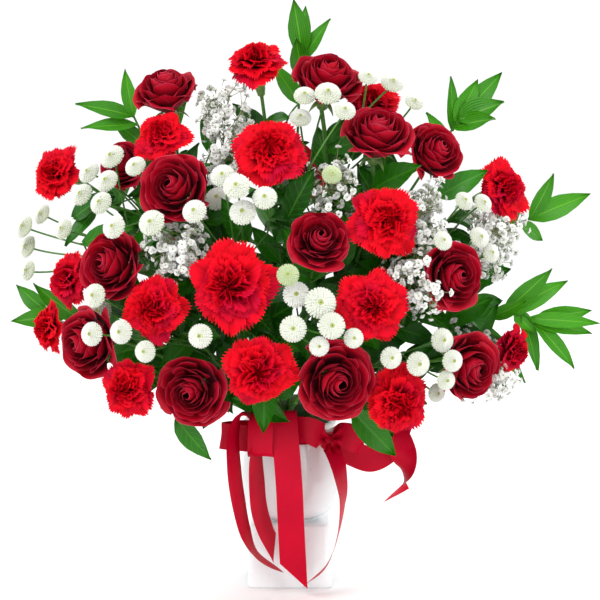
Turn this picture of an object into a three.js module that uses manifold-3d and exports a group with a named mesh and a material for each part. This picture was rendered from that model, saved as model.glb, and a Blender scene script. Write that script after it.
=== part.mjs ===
// Red carnations and dark red roses with white button chrysanthemums, baby's breath, ruscus and
// salal leaves, arranged in a white urn with a red satin ribbon round its neck.
// Millimetres, +Z up. The origin is the middle of the urn's foot, on the surface that it stands on.
// The front faces -Y and +X is to the right of someone who looks at the front.
import * as THREE from "three";
import Module from "manifold-3d";

const wasm = await Module();
wasm.setup();
const { Manifold, Mesh } = wasm;
const vec = (x, y, z) => new THREE.Vector3(x, y, z);
const radians = THREE.MathUtils.degToRad;

// ---- driving dimensions ---------------------------------------------------------------------

const GAP = 0.35; // between pieces that rest against each other

// The urn is one casting: a square plinth with rounded corners, and a round bowl on it.
const PLINTH = { foot: 82, top: 76, height: 61, corner: 7, edge: 2 };
const BOWL = { waist: 26, belly: 48.5, neck: 42.5, lip: 45, rim: 157.5, floor: 71.5 };
const URN_SIDES = 20;

// The wet foam block that fills the bowl. All stems point at one spot inside it.
const FOAM = { radius: 36.5, bottom: 73.5, top: 178, sides: 16 };
const STEM_FOCUS = vec(0, 0, 146);
const SOCKET = { from: 18, out: 46, beyond: 62 };
const FOOT_RADIUS = 2.2;

// The eye that the places below were read with: `across` and `up` are where a thing appears on the
// upright plane through the urn's axis, and `forward` is how far in front of that plane it really is.
const EYE_DISTANCE = 2400;
const EYE_RISE = radians(7);
const EYE_TARGET = vec(9.6, 0, 273);
const EYE = EYE_TARGET.clone().add(
  vec(0, -Math.cos(EYE_RISE), Math.sin(EYE_RISE)).multiplyScalar(EYE_DISTANCE));

// The blooms lie on a dome that bulges to the front.
const DOME = { halfWidth: 245, depth: 175, middle: 240, above: 290, below: 150 };

const CARNATION = { columns: 18, farColumns: 12, calyxLength: 20, calyxRadius: 5.2, stem: 1.7 };
const ROSE = { columns: 15, farColumns: 9, calyxLength: 9, calyxRadius: 9.5, stem: 2.1 };
const FAR = 60; // blooms less far forward than this show only their side, or nothing, to the front
const BUTTON = { columns: 8, pedicel: 0.9, stem: 1.5 };
const BREATH = { floret: 3.4, twig: 0.6, limb: 0.8, stem: 1.2 };
const LEAF_THICKNESS = 1.3;
const RIBBON = { width: 25, gathered: 7, opens: 6, thickness: 0.8, knot: 9 };
const NECK_BAND = { inside: 43.7, outside: 44.7, low: 140, high: 149 };

// Every bloom: where it is seen, how far forward it is, its radius, and where it faces:
// `turn` degrees to the right of the front and `tilt` degrees upward.
const bloomAt = (name, across, up, forward, radius, turn, tilt) =>
  ({ name, across, up, forward, radius, turn, tilt });

const CARNATIONS = [
  bloomAt("carnation_01", -32, 500, 75, 33, -15, 60),
  bloomAt("carnation_02", -223, 394, 15, 30, -45, 15),
  bloomAt("carnation_03", -122, 430, 85, 30, -20, 35),
  bloomAt("carnation_04", -19, 415, 135, 39.5, -5, 30),
  bloomAt("carnation_05", 92, 349, 145, 36.5, 20, 15),
  bloomAt("carnation_06", 202, 380, 60, 34, 45, 20),
  bloomAt("carnation_07", -56, 286, 168, 44, -8, 5),
  bloomAt("carnation_08", -130, 264, 143, 34, -20, 5),
  bloomAt("carnation_09", 78, 267, 162, 36.5, 12, 5),
  bloomAt("carnation_10", -31, 205, 177, 39.5, 3, 0),
  bloomAt("carnation_11", -155, 188, 130, 33, -30, -8),
  bloomAt("carnation_12", 104, 175, 138, 35.5, 20, -10),
  bloomAt("carnation_13", -211, 293, 70, 30, -55, 10),
  bloomAt("carnation_14", -230, 246, 42, 28, -65, 0),
  bloomAt("carnation_15", 213, 225, 66, 28, 60, -5),
  bloomAt("carnation_16", 79, 461, 46, 30, 10, 50),
  bloomAt("carnation_17", -95, 330, -108, 33, -150, 20),
  bloomAt("carnation_18", 98, 290, -112, 34, 150, 12),
];

const ROSES = [
  bloomAt("rose_01", -119, 479, 52, 29, -20, 64),
  bloomAt("rose_02", 36, 490, 82, 31, 15, 58),
  bloomAt("rose_03", 84, 438, 118, 31, 12, 58),
  bloomAt("rose_04", 141, 418, 95, 27, 30, 28),
  bloomAt("rose_05", -112, 382, 134, 32, -20, 20),
  bloomAt("rose_06", -162, 404, 55, 23.5, -35, 25),
  bloomAt("rose_07", 29, 333, 165, 27, 5, 25),
  bloomAt("rose_08", 160, 297, 132, 30, 30, 8),
  bloomAt("rose_09", -175, 307, 122, 32, -35, 12),
  bloomAt("rose_10", -199, 230, 110, 32, -42, 0),
  bloomAt("rose_11", -96, 183, 148, 31, -15, -5),
  bloomAt("rose_12", 46, 193, 172, 34, 15, -3),
  bloomAt("rose_13", 177, 207, 125, 31, 35, -5),
  bloomAt("rose_14", 4, 400, -105, 31, 175, 30),
];

// Where a stem stands in the foam: degrees round from the front to the right, degrees upward.
const socketAt = (round, rise) => ({ round, rise });
const LOW = 26;
const MIDDLE = 50;
const HIGH = 74;

// The stems of neighbouring blooms leave the foam together.
const BUNDLES = [
  { name: "stems_front", socket: socketAt(-5, LOW),
    blooms: ["carnation_07", "carnation_10", "rose_07", "rose_11", "rose_12"] },
  { name: "stems_left_low", socket: socketAt(-62, LOW),
    blooms: ["carnation_08", "carnation_11", "carnation_13", "carnation_14", "rose_09", "rose_10"] },
  { name: "stems_right_low", socket: socketAt(52, LOW),
    blooms: ["carnation_09", "carnation_12", "carnation_15", "rose_08", "rose_13"] },
  { name: "stems_left_high", socket: socketAt(-80, MIDDLE),
    blooms: ["carnation_02", "carnation_03", "rose_01", "rose_05", "rose_06"] },
  { name: "stems_right_high", socket: socketAt(80, MIDDLE),
    blooms: ["carnation_05", "carnation_06", "carnation_16", "rose_03", "rose_04"] },
  { name: "stems_top", socket: socketAt(0, HIGH),
    blooms: ["carnation_01", "carnation_04", "rose_02"] },
  { name: "stems_back", socket: socketAt(-160, MIDDLE),
    blooms: ["carnation_17", "carnation_18", "rose_14"] },
];

// Button chrysanthemums: one spray forks at `fork`, and its heads are [across, up, radius].
const BUTTON_SPRAYS = [
  { name: "buttons_left", socket: socketAt(-118, LOW), fork: [-152, 336, 36],
    heads: [[-169, 410, 12], [-191, 395, 11], [-174, 387, 11], [-198, 374, 11], [-180, 366, 11],
      [-147, 401, 10], [-236, 355, 10], [-253, 343, 11], [-250, 324, 11], [-250, 301, 10],
      [-216, 341, 10], [-168, 343, 11]] },
  { name: "buttons_upper_left", socket: socketAt(-90, HIGH), fork: [-66, 330, 80],
    heads: [[-64, 392, 11], [-51, 382, 12], [-69, 370, 12], [-24, 371, 11], [-91, 358, 11],
      [-45, 357, 12], [-132, 347, 12]] },
  { name: "buttons_low_left", socket: socketAt(-33, LOW), fork: [-110, 245, 95],
    heads: [[-187, 277, 11], [-181, 262, 13], [-190, 240, 11], [-162, 242, 11],
      [-139, 223, 10], [-86, 238, 11]] },
  { name: "buttons_front", socket: socketAt(0, MIDDLE), fork: [22, 275, 95],
    heads: [[-2, 297, 10], [6, 278, 12], [3, 245, 12], [29, 270, 14], [40, 248, 12],
      [61, 236, 9], [28, 228, 9]] },
  { name: "buttons_low_right", socket: socketAt(24, LOW), fork: [110, 222, 90],
    heads: [[146, 234, 11], [156, 214, 10], [97, 217, 10], [123, 211, 11], [141, 183, 9],
      [150, 195, 9]] },
  { name: "buttons_top", socket: socketAt(90, HIGH), fork: [45, 400, 40],
    heads: [[36, 470, 12], [14, 468, 10], [10, 447, 10], [52, 454, 10], [74, 486, 9],
      [97, 480, 11], [118, 462, 9], [40, 393, 9]] },
  { name: "buttons_right", socket: socketAt(120, MIDDLE), fork: [150, 300, 40],
    heads: [[166, 368, 9], [184, 366, 9], [181, 333, 10], [192, 318, 9],
      [146, 330, 9]] },
];

// Baby's breath: each cloud of florets is [across, up, forward, reach, count].
const BREATH_SPRAYS = [
  { name: "breath_left", socket: socketAt(-40, MIDDLE), fork: [-95, 310, 85],
    clouds: [[-110, 325, 134, 32, 8], [-62, 458, 55, 32, 5]] },
  { name: "breath_right", socket: socketAt(40, MIDDLE), fork: [105, 300, 85],
    clouds: [[124, 356, 110, 28, 5], [120, 290, 135, 34, 7], [32, 382, 125, 20, 2]] },
  { name: "breath_far_right", socket: socketAt(107, LOW), fork: [165, 275, 30],
    clouds: [[196, 342, 54, 38, 10], [205, 200, 90, 24, 4]] },
  { name: "breath_back", socket: socketAt(-145, LOW), fork: [-30, 290, -80],
    clouds: [[-20, 300, -120, 34, 5], [60, 350, -110, 30, 4]] },
];

// Ruscus: a stem through `path`, and leaves [base, tip, width] with points [across, up, forward].
const FRONDS = [
  { name: "ruscus_top", socket: socketAt(180, HIGH),
    path: [[6, 400, -10], [11, 505, 18], [12, 512, 20]],
    leaves: [[[11, 508, 20], [3, 560, 26], 21], [[12, 512, 20], [15, 553, 10], 14],
      [[11, 500, 18], [39, 541, 22], 15], [[10, 490, 16], [5, 524, 34], 21],
      [[8, 460, 6], [-18, 500, 4], 18]] },
  { name: "ruscus_upper_left", socket: socketAt(-120, MIDDLE),
    path: [[-110, 350, -12], [-140, 430, 12], [-150, 452, 16]],
    leaves: [[[-149, 450, 16], [-204, 460, 22], 17], [[-147, 440, 14], [-199, 437, 24], 14],
      [[-150, 455, 16], [-156, 494, 20], 15], [[-137, 420, 8], [-168, 444, 0], 17],
      [[-128, 400, 2], [-96, 466, 4], 22], [[-121, 388, -1], [-70, 400, -30], 20],
      [[-110, 350, -12], [-150, 372, -30], 20]] },
  { name: "ruscus_upper_right", socket: socketAt(160, MIDDLE),
    path: [[110, 370, -30], [150, 430, 18], [163, 448, 24]],
    leaves: [[[153, 436, 20], [152, 487, 26], 13], [[158, 442, 22], [178, 484, 20], 20],
      [[163, 450, 24], [201, 490, 12], 21], [[163, 447, 24], [204, 462, 34], 25],
      [[157, 436, 22], [196, 446, 44], 22], [[145, 424, 14], [129, 452, 10], 15],
      [[135, 405, -4], [160, 420, -34], 21]] },
  { name: "ruscus_right", socket: socketAt(134, LOW),
    path: [[160, 300, -30], [215, 345, -6], [232, 352, 0]],
    leaves: [[[231, 352, 0], [251, 395, 6], 17], [[232, 352, 0], [287, 375, 4], 22],
      [[218, 346, -6], [240, 330, -26], 17], [[203, 335, -12], [217, 378, -30], 18],
      [[180, 316, -22], [206, 296, -44], 20]] },
  { name: "ruscus_low_right", socket: socketAt(80, LOW),
    path: [[150, 230, 12], [205, 262, 30], [236, 252, 34]],
    leaves: [[[203, 273, 30], [251, 304, 40], 20], [[205, 263, 30], [266, 292, 34], 21],
      [[190, 258, 28], [228, 274, 50], 15], [[214, 260, 32], [220, 238, 50], 17],
      [[236, 253, 34], [289, 263, 24], 18], [[230, 255, 34], [298, 250, 44], 15],
      [[228, 254, 33], [290, 240, 30], 17], [[233, 252, 34], [273, 206, 44], 17],
      [[222, 256, 33], [237, 205, 30], 18], [[180, 250, 24], [226, 192, 26], 17]] },
  { name: "ruscus_left", socket: socketAt(-91, LOW),
    path: [[-130, 220, -8], [-190, 250, -14], [-236, 262, -10]],
    leaves: [[[-215, 254, -12], [-268, 252, -6], 20], [[-232, 262, -10], [-262, 288, -20], 17],
      [[-200, 252, -14], [-246, 290, 6], 20], [[-185, 248, -14], [-214, 214, -20], 21],
      [[-160, 236, -12], [-190, 290, -30], 20]] },
  { name: "ruscus_back", socket: socketAt(161, LOW),
    path: [[40, 240, -100], [70, 262, -150], [84, 280, -172]],
    leaves: [[[84, 280, -172], [104, 318, -182], 20], [[76, 270, -160], [120, 262, -170], 20],
      [[70, 262, -150], [50, 300, -160], 21], [[58, 252, -130], [84, 218, -140], 21],
      [[46, 242, -110], [14, 228, -142], 22]] },
];

// Broad salal and rose leaves that are seen between the blooms: [bundle, base, tip, width].
const BROAD_LEAVES = [
  ["stems_top", [-2, 352, 112], [24, 400, 136], 24],
  ["stems_right_high", [40, 362, 120], [71, 383, 138], 22],
  ["stems_right_high", [80, 380, 92], [126, 402, 122], 26],
  ["stems_right_high", [140, 372, 84], [181, 408, 82], 22],
  ["stems_front", [50, 306, 118], [76, 350, 134], 24],
  ["stems_left_high", [-206, 352, 30], [-168, 376, 62], 20],
  ["stems_left_low", [-198, 328, 60], [-146, 342, 92], 20],
  ["stems_left_low", [-110, 158, 110], [-76, 118, 118], 20],
  ["stems_right_low", [60, 166, 112], [101, 122, 108], 26],
  ["stems_left_high", [-150, 322, 84], [-142, 372, 96], 18],
  ["stems_left_high", [-184, 360, 30], [-228, 352, 22], 16],
  ["stems_left_high", [-76, 414, 22], [-77, 464, 10], 17],
  ["stems_right_low", [150, 255, 70], [196, 276, 96], 24],
  ["stems_front", [-22, 245, 100], [12, 222, 136], 26],
  ["stems_top", [-42, 330, 90], [-66, 372, 112], 24],
  ["stems_back", [-30, 268, -96], [-70, 232, -142], 34],
  ["stems_back", [20, 300, -104], [44, 356, -138], 32],
  ["stems_back", [-10, 330, -100], [-44, 382, -124], 32],
  ["stems_back", [0, 240, -92], [30, 196, -120], 32],
];

// ---- places and directions ------------------------------------------------------------------

function seen([across, up, forward]) {
  const mark = vec(across, 0, up);
  return EYE.clone().lerp(mark, (forward + EYE.y) / EYE.y);
}

function facing(turn, tilt) {
  const [t, r] = [radians(turn), radians(tilt)];
  return vec(Math.sin(t) * Math.cos(r), -Math.cos(t) * Math.cos(r), Math.sin(r));
}

function domeDepth(across, up) {
  const height = up > DOME.middle ? DOME.above : DOME.below;
  const rest = 1 - (across / DOME.halfWidth) ** 2 - ((up - DOME.middle) / height) ** 2;
  return DOME.depth * Math.sqrt(Math.max(0, rest));
}

// Numbers from 0 to 1 that are the same each time.
function draws(seed) {
  let state = (seed * 7919 + 12345) >>> 0;
  return () => {
    state = (Math.imul(state, 1664525) + 1013904223) >>> 0;
    return state / 4294967296;
  };
}

// Two directions square to `axis` and to each other, the second one as upright as it can be.
function squareTo(axis) {
  const pole = Math.abs(axis.z) > 0.95 ? vec(0, 1, 0) : vec(0, 0, 1);
  const side = pole.cross(axis).normalize();
  return [side, axis.clone().cross(side)];
}

function curvePoint(points, t) {
  if (points.length === 1) return points[0].clone();
  const next = points.slice(1).map((point, i) => points[i].clone().lerp(point, t));
  return curvePoint(next, t);
}

function curve(points, steps) {
  return Array.from({ length: steps + 1 }, (_, i) => curvePoint(points, i / steps));
}

// ---- closed surfaces ------------------------------------------------------------------------

function solidOf(points, triangles) {
  const vertProperties = new Float32Array(points.length * 3);
  points.forEach((point, i) => point.toArray(vertProperties, i * 3));
  return new Manifold(new Mesh({ numProp: 3, vertProperties, triVerts: new Uint32Array(triangles.flat()) }));
}

// Rings of points, counter-clockwise when seen from the end that the last ring is at. Two rings may
// differ in their number of points. The ends are closed by the points `first` and `last`, or the last
// ring meets the first one if they are left out. The four-sided faces at the places `flipped` are cut
// along their other diagonal, so that both sides of a thin twisted blade are cut alike.
function loft(rings, first, last, flipped = []) {
  const points = rings.flat();
  const triangles = [];
  const starts = rings.map((_, i) => rings.slice(0, i).reduce((sum, ring) => sum + ring.length, 0));
  const bands = first ? rings.length - 1 : rings.length;
  for (let band = 0; band < bands; band++) {
    const next = (band + 1) % rings.length;
    for (const corners of bandTriangles(rings[band], rings[next], flipped)) {
      triangles.push(corners.map(([onNext, i]) => starts[onNext ? next : band] + i));
    }
  }
  if (first) {
    points.push(first, last);
    const lowest = rings[0];
    const highest = rings[rings.length - 1];
    const top = starts[rings.length - 1];
    lowest.forEach((_, i) => triangles.push([points.length - 2, (i + 1) % lowest.length, i]));
    highest.forEach((_, i) => triangles.push([top + i, top + (i + 1) % highest.length, points.length - 1]));
  }
  return solidOf(points, triangles);
}

// Triangles between two rings; each corner is [is it on the upper ring, its place on the ring].
function bandTriangles(lower, upper, flipped) {
  const [m, n] = [lower.length, upper.length];
  const shift = m === n ? 0 : facingIndex(lower, upper);
  const triangles = [];
  let [i, j] = [0, 0];
  while (i < m || j < n) {
    const onLower = [false, i % m];
    const onUpper = [true, (j + shift) % n];
    const lowerFirst = m === n && i === j && flipped.includes(i);
    if (j >= n || (i < m && (lowerFirst || (i + 1) / m <= (j + 0.6) / n))) {
      i += 1;
      triangles.push([onLower, [false, i % m], onUpper]);
    } else {
      j += 1;
      triangles.push([onLower, [true, (j + shift) % n], onUpper]);
    }
  }
  return triangles;
}

const centreOf = (ring) =>
  ring.reduce((sum, point) => sum.add(point), vec(0, 0, 0)).divideScalar(ring.length);

// The point of the upper ring that lies on the same side as the lower ring's first point.
function facingIndex(lower, upper) {
  const side = lower[0].clone().sub(centreOf(lower));
  const centre = centreOf(upper);
  const match = upper.map((point) => point.clone().sub(centre).normalize().dot(side));
  return match.indexOf(Math.max(...match));
}

const nearestIndex = (points, target) =>
  points.reduce((best, point, i) => point.distanceTo(target) < points[best].distanceTo(target) ? i : best, 0);

// A round section of `sides` at each point of a path; `radii` gives its size at the start and the end.
function tubeRings(path, [radius, tipRadius], sides) {
  let side = squareTo(path[1].clone().sub(path[0]).normalize())[0];
  return path.map((point, i) => {
    const along = path[Math.min(i + 1, path.length - 1)].clone().sub(path[Math.max(i - 1, 0)]).normalize();
    side = side.clone().addScaledVector(along, -side.dot(along)).normalize();
    const other = along.clone().cross(side);
    const reach = radius + (tipRadius - radius) * i / (path.length - 1);
    return ringAt(point, side, other, sides, () => reach);
  });
}

function ringAt(middle, side, other, sides, reachAt) {
  return Array.from({ length: sides }, (_, k) => {
    const angle = 2 * Math.PI * k / sides;
    const reach = reachAt(k);
    return middle.clone().addScaledVector(side, reach * Math.cos(angle))
      .addScaledVector(other, reach * Math.sin(angle));
  });
}

const tube = (path, radii, sides) =>
  loft(tubeRings(path, radii, sides), path[0].clone(), path[path.length - 1].clone());

// A leaf blade along its spine: thick at its midrib and thin at both edges. With a `root` it starts
// there, on a stalk as thick as the midrib.
function blade({ spine, across, width, outline }, root = spine[0]) {
  const ringOn = (middle, reach, half, fold) => {
    const side = across.clone().addScaledVector(reach, -across.dot(reach)).normalize();
    const face = side.clone().cross(reach);
    return [
      middle.clone().addScaledVector(side, half).addScaledVector(face, fold),
      middle.clone().addScaledVector(face, -LEAF_THICKNESS / 2),
      middle.clone().addScaledVector(side, -half).addScaledVector(face, fold),
      middle.clone().addScaledVector(face, LEAF_THICKNESS / 2),
    ];
  };
  const rings = outline.map(([t, share]) => {
    const reach = curvePoint(spine, t + 0.02).sub(curvePoint(spine, t - 0.02)).normalize();
    return ringOn(curvePoint(spine, t), reach, width * share / 2, width * share / 8);
  });
  if (root !== spine[0]) {
    const stalk = spine[0].clone().sub(root).normalize();
    const turn = spine[1].clone().sub(spine[0]).normalize().add(stalk).normalize();
    rings.unshift(ringOn(root, stalk, STALK / 2, 0), ringOn(spine[0], turn, STALK / 2, 0));
  }
  return loft(rings, root.clone(), spine[spine.length - 1].clone(), BLADE_BACK);
}

const STALK = 1.8;
const BLADE_BACK = [0, 1];
const SMALL_OUTLINE = [[0.34, 0.96], [0.7, 0.8]];
const BROAD_OUTLINE = [[0.22, 0.8], [0.5, 1], [0.78, 0.72]];

// One body of overlapping parts, with slivers narrower than SLIVER taken out.
const SLIVER = 0.02;

function fuse(parts, name) {
  const joined = Manifold.union(parts);
  const bodies = joined.decompose().filter((body) => Math.abs(body.volume()) > 1);
  if (bodies.length !== 1) throw new Error(`${name} has ${bodies.length} loose bodies`);
  return bodies[0].simplify(SLIVER);
}

// ---- room: what is already there, so that later stems and leaves are bent clear of it -----------

const room = { blooms: [], grains: [] };

function blocksBloom(bloom, point, margin) {
  const offset = point.clone().sub(bloom.place);
  const height = offset.dot(bloom.front);
  const radial = Math.sqrt(Math.max(0, offset.lengthSq() - height * height));
  const reach = height > 0 ? bloom.rise : bloom.fall;
  return (radial / (bloom.radius + margin)) ** 2 + (height / (reach + margin)) ** 2 < 1;
}

// True where balls of radius `reach` at `points` touch nothing but what `ignored` names.
function isClear(points, reach, ...ignored) {
  const near = reach + 0.9;
  for (const bloom of room.blooms) {
    if (ignored.includes(bloom.name)) continue;
    if (points.some((point) => blocksBloom(bloom, point, near))) return false;
  }
  for (const grain of room.grains) {
    if (ignored.includes(grain.owner)) continue;
    const limit = (grain.reach + near) ** 2;
    if (points.some((point) => point.distanceToSquared(grain.place) < limit)) return false;
  }
  return true;
}

function occupy(points, reach, owner) {
  points.forEach((place) => room.grains.push({ place, reach, owner }));
}

// The points of a path of straight lengths, at most `step` apart.
function along(path, step) {
  return path.slice(1).flatMap((end, i) => {
    const count = Math.max(1, Math.ceil(path[i].distanceTo(end) / step));
    return Array.from({ length: count }, (_, k) => path[i].clone().lerp(end, (k + 1) / count));
  });
}

// The point at a share of the length of a path of straight lengths.
function pointAlong(path, share) {
  const lengths = path.slice(1).map((point, i) => point.distanceTo(path[i]));
  let rest = share * lengths.reduce((sum, length) => sum + length, 0);
  for (let i = 0; i < lengths.length; i++) {
    if (rest <= lengths[i]) return path[i].clone().lerp(path[i + 1], rest / lengths[i]);
    rest -= lengths[i];
  }
  return path[path.length - 1].clone();
}

// A stem of `lengths` straight lengths from `start` to `end`, where it arrives along `arrive`. Past
// `free` from its start it is bowed to whichever side is clear, by as little as will do.
const BOWS = [0, 0.12, 0.24, 0.38, 0.55];
const BOW_SIDES = 8;
const CHECK_STEP = 5;

function clearStem({ start, leave, end, arrive, lengths, reach, free, owner }) {
  const chord = end.clone().sub(start);
  const span = chord.length();
  const [side, other] = squareTo(chord.clone().normalize());
  for (const bow of BOWS) {
    for (let k = 0; k < (bow ? BOW_SIDES : 1); k++) {
      const angle = 2 * Math.PI * k / BOW_SIDES;
      const push = side.clone().multiplyScalar(Math.cos(angle)).addScaledVector(other, Math.sin(angle))
        .multiplyScalar(bow * span);
      const bent = [
        start,
        start.clone().addScaledVector(leave, 0.3 * span).add(push),
        end.clone().addScaledVector(arrive, -0.3 * span).add(push),
        end,
      ];
      const path = curve(bent, lengths);
      const samples = along(path, CHECK_STEP);
      if (isClear(samples.filter((point) => point.distanceTo(start) > free), reach, owner)) {
        occupy(samples, reach, owner);
        return path;
      }
    }
  }
  return [start, end];
}

// ---- blooms ------------------------------------------------------------------------------------

// Rows from the base to the middle of the face: share of the radius, height as a share of the radius.
// Rim rows end a layer of petals; the row after each goes down between two layers.
const CARNATION_ROWS = [[1, -0.08, "rim"], [0.56, 0.05], [0.78, 0.24, "rim"], [0.34, 0.18],
  [0.46, 0.44, "rim"]];
const CARNATION_ENDS = [-0.5, 0.2];
const ROSE_ROWS = [[0.56, -0.72], [1, 0.04, "rim"], [0.64, 0], [0.7, 0.34, "rim"], [0.36, 0.12]];
const ROSE_ENDS = [-1.02, 0.46];
const BUTTON_ROWS = [[1, 0, "rim"], [0.74, 0.42]];
const BUTTON_ENDS = [-0.4, 0.55];

const onAxis = (bloom, height) => bloom.place.clone().addScaledVector(bloom.front, bloom.radius * height);

function bloomRings(bloom, rows, columns, edge) {
  const [side, other] = squareTo(bloom.front);
  return rows.map(([share, height, kind], row) => {
    const edges = Array.from({ length: columns }, (_, k) => kind === "rim" ? edge(row, k) : [1, 0]);
    const reach = (k) => bloom.radius * share * edges[k][0];
    const flat = ringAt(onAxis(bloom, height), side, other, columns, reach);
    return flat.map((point, k) => point.addScaledVector(bloom.front, bloom.radius * edges[k][1]));
  });
}

const bloomSolid = (bloom, rows, ends, columns, edge = () => [1, 0]) =>
  loft(bloomRings(bloom, rows, columns, edge), onAxis(bloom, ends[0]), onAxis(bloom, ends[1]));

// Six fringed petals in each layer, crimped up and down along their edge.
function carnationEdge(draw) {
  return (row, column) => {
    const seam = (column + row / 2) % 3 === 0 ? 0.82 : 1;
    const crimp = (column % 2 ? 1 : -1) * (0.03 + 0.04 * draw());
    return [seam * (0.94 + 0.08 * draw()), crimp];
  };
}

// Five broad petals in each layer, which meet at a dip.
function roseEdge(draw) {
  return (row, column) => {
    const seam = (column + row) % 3 === 0;
    return [(seam ? 0.86 : 1) * (0.96 + 0.05 * draw()), seam ? 0.06 : -0.02 + 0.04 * draw()];
  };
}

function settleBloom(bloom, isRose) {
  bloom.place = seen([bloom.across, bloom.up, bloom.forward]);
  bloom.front = facing(bloom.turn, bloom.tilt);
  bloom.rise = bloom.radius * 0.56;
  bloom.fall = bloom.radius * (isRose ? 1.1 : 0.6);
  bloom.isRose = isRose;
  room.blooms.push(bloom);
}

// A bloom's stem and its green cup as one surface: a long tube under a carnation, five pointed
// sepals under a rose. The cup follows the underside of the bloom and stays GAP below it.
function bloomStem(bloom, path) {
  const kind = bloom.isRose ? ROSE : CARNATION;
  const [rows, ends] = bloom.isRose ? [ROSE_ROWS, ROSE_ENDS] : [CARNATION_ROWS, CARNATION_ENDS];
  const slope = 0.86 * (rows[0][1] - ends[0]) / rows[0][0];
  const base = bloom.radius * ends[0] - GAP - 0.1;
  const [side, other] = squareTo(bloom.front);
  const at = (height) => bloom.place.clone().addScaledVector(bloom.front, height);
  const sepal = (k) => bloom.isRose && k % 2 ? kind.calyxRadius * 0.38 : kind.calyxRadius;
  const rim = ringAt(at(base), side, other, bloom.isRose ? 10 : 5, sepal)
    .map((point, k) => point.addScaledVector(bloom.front, sepal(k) * slope));
  const swell = kind.calyxRadius * (bloom.isRose ? 0.5 : 0.8);
  return loft([
    ...tubeRings(path, [kind.stem, kind.stem], 3),
    ringAt(at(base - kind.calyxLength * 0.35), side, other, 5, () => swell),
    rim,
  ], path[0].clone(), at(base));
}

// ---- stems, sprays and fronds ----------------------------------------------------------------

function socketLine(socket) {
  const direction = facing(socket.round, socket.rise);
  const at = (distance) => STEM_FOCUS.clone().addScaledVector(direction, distance);
  return { direction, inner: at(SOCKET.from), outer: at(SOCKET.out), beyond: at(SOCKET.beyond) };
}

// A stem's hole in the foam has the stem's own three-sided section, GAP wider all round.
function socketHole(socket) {
  const line = socketLine(socket);
  const bottom = line.inner.clone().addScaledVector(line.direction, -GAP);
  const radius = FOOT_RADIUS + 2 * GAP;
  return tube([bottom, line.beyond], [radius, radius], 3);
}

// The main stem of a spray: straight out of the foam, then on to its fork.
function trunkPath(spray, reach) {
  const line = socketLine(spray.socket);
  const fork = seen(spray.fork);
  const path = clearStem({ start: line.outer, leave: line.direction, end: fork, arrive: outward(fork),
    lengths: 3, reach, free: 16, owner: spray.name });
  return [line.inner, ...path];
}

const trunkSolid = (path, tipRadius) => tube(path, [FOOT_RADIUS, tipRadius], 3);

const OUTWARD_FROM = vec(0, 40, 230);
const outward = (point) => point.clone().sub(OUTWARD_FROM).normalize();
const BACK_LEAVES = 60;

// The side that a leaf shows: outward, in front more towards the viewer, and square to its own length.
function leafFace(root, end) {
  const reach = end.clone().sub(root).normalize();
  const out = outward(end).add(vec(0, end.y < BACK_LEAVES ? -1.3 : 0.3, 0.25));
  return out.addScaledVector(reach, -out.dot(reach)).normalize();
}

function leafAt(base, arm, width, outline, face) {
  const across = arm.clone().cross(face).normalize();
  const tip = base.clone().add(arm);
  const middle = base.clone().addScaledVector(arm, 0.5).addScaledVector(face, arm.length() * 0.1);
  return { spine: [base, middle, tip], across, width, outline };
}

function leafSamples({ spine, across, width }) {
  const steps = Math.ceil(spine[0].distanceTo(spine[2]) / 5);
  const half = Math.ceil(width / 12);
  const lines = Array.from({ length: 2 * half + 1 }, (_, i) => 0.42 * (i - half) / half);
  const middle = curve(spine, steps).slice(1);
  return lines.flatMap((share) => middle.map((point, i) => {
    const taper = Math.sin(Math.PI * Math.min(1, (i + 1.4) / (steps + 1)));
    return point.clone().addScaledVector(across, share * width * taper);
  }));
}

// A leaf from `base` to `tip`, swung about its base by as little as keeps it clear of everything.
const SWINGS = [0, 14, -14, 28, -28, 44, -44, 62, -62];
const LIFTS = [0, 18, -18, 36, -36];

function clearLeaf(base, tip, width, outline, owner, parent) {
  const arm = tip.clone().sub(base);
  const face = leafFace(base, tip);
  const across = arm.clone().cross(face).normalize();
  for (const lift of LIFTS) {
    for (const swing of SWINGS) {
      const swung = arm.clone().applyAxisAngle(face, radians(swing)).applyAxisAngle(across, radians(lift));
      const leaf = leafAt(base, swung, width, outline, leafFace(base, base.clone().add(swung)));
      const samples = leafSamples(leaf);
      if (isClear(samples, 1, owner, parent)) {
        occupy(samples, 1, owner);
        return leaf;
      }
    }
  }
  return null;
}

const nearestPoint = (points, target) => points[nearestIndex(points, target)];

function makeBundle(bundle, blooms) {
  const line = socketLine(bundle.socket);
  const start = line.outer.clone().addScaledVector(line.direction, -4);
  const parts = [tube([line.inner, line.outer], [FOOT_RADIUS, FOOT_RADIUS], 3)];
  const paths = [];
  for (const name of bundle.blooms) {
    const bloom = blooms.find((one) => one.name === name);
    const kind = bloom.isRose ? ROSE : CARNATION;
    const base = bloom.radius * (bloom.isRose ? ROSE_ENDS : CARNATION_ENDS)[0] - kind.calyxLength;
    const end = bloom.place.clone().addScaledVector(bloom.front, base);
    const leave = end.clone().sub(start).normalize().add(line.direction).normalize();
    const path = clearStem({ start, leave, end, arrive: bloom.front, lengths: 2, reach: kind.stem,
      free: 20, owner: name });
    parts.push(bloomStem(bloom, path));
    paths.push({ name, path });
  }
  return { name: bundle.name, parts, paths };
}

// A button head is placed where it is seen, a little before or behind the dome as room allows.
const DEPTH_TRIES = [8, 15, 0, 22, -8, -16, 30, -25, -34, 38, -44, -54, -66, -80];

function placeButton(across, up, radius, label) {
  for (const extra of DEPTH_TRIES) {
    const place = seen([across, up, domeDepth(across, up) + extra]);
    if (isClear([place], radius, label)) {
      occupy([place], radius * 0.9, label);
      return { place, front: outward(place).add(vec(0, -0.5, 0.1)).normalize(), radius };
    }
  }
  return null;
}

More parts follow.
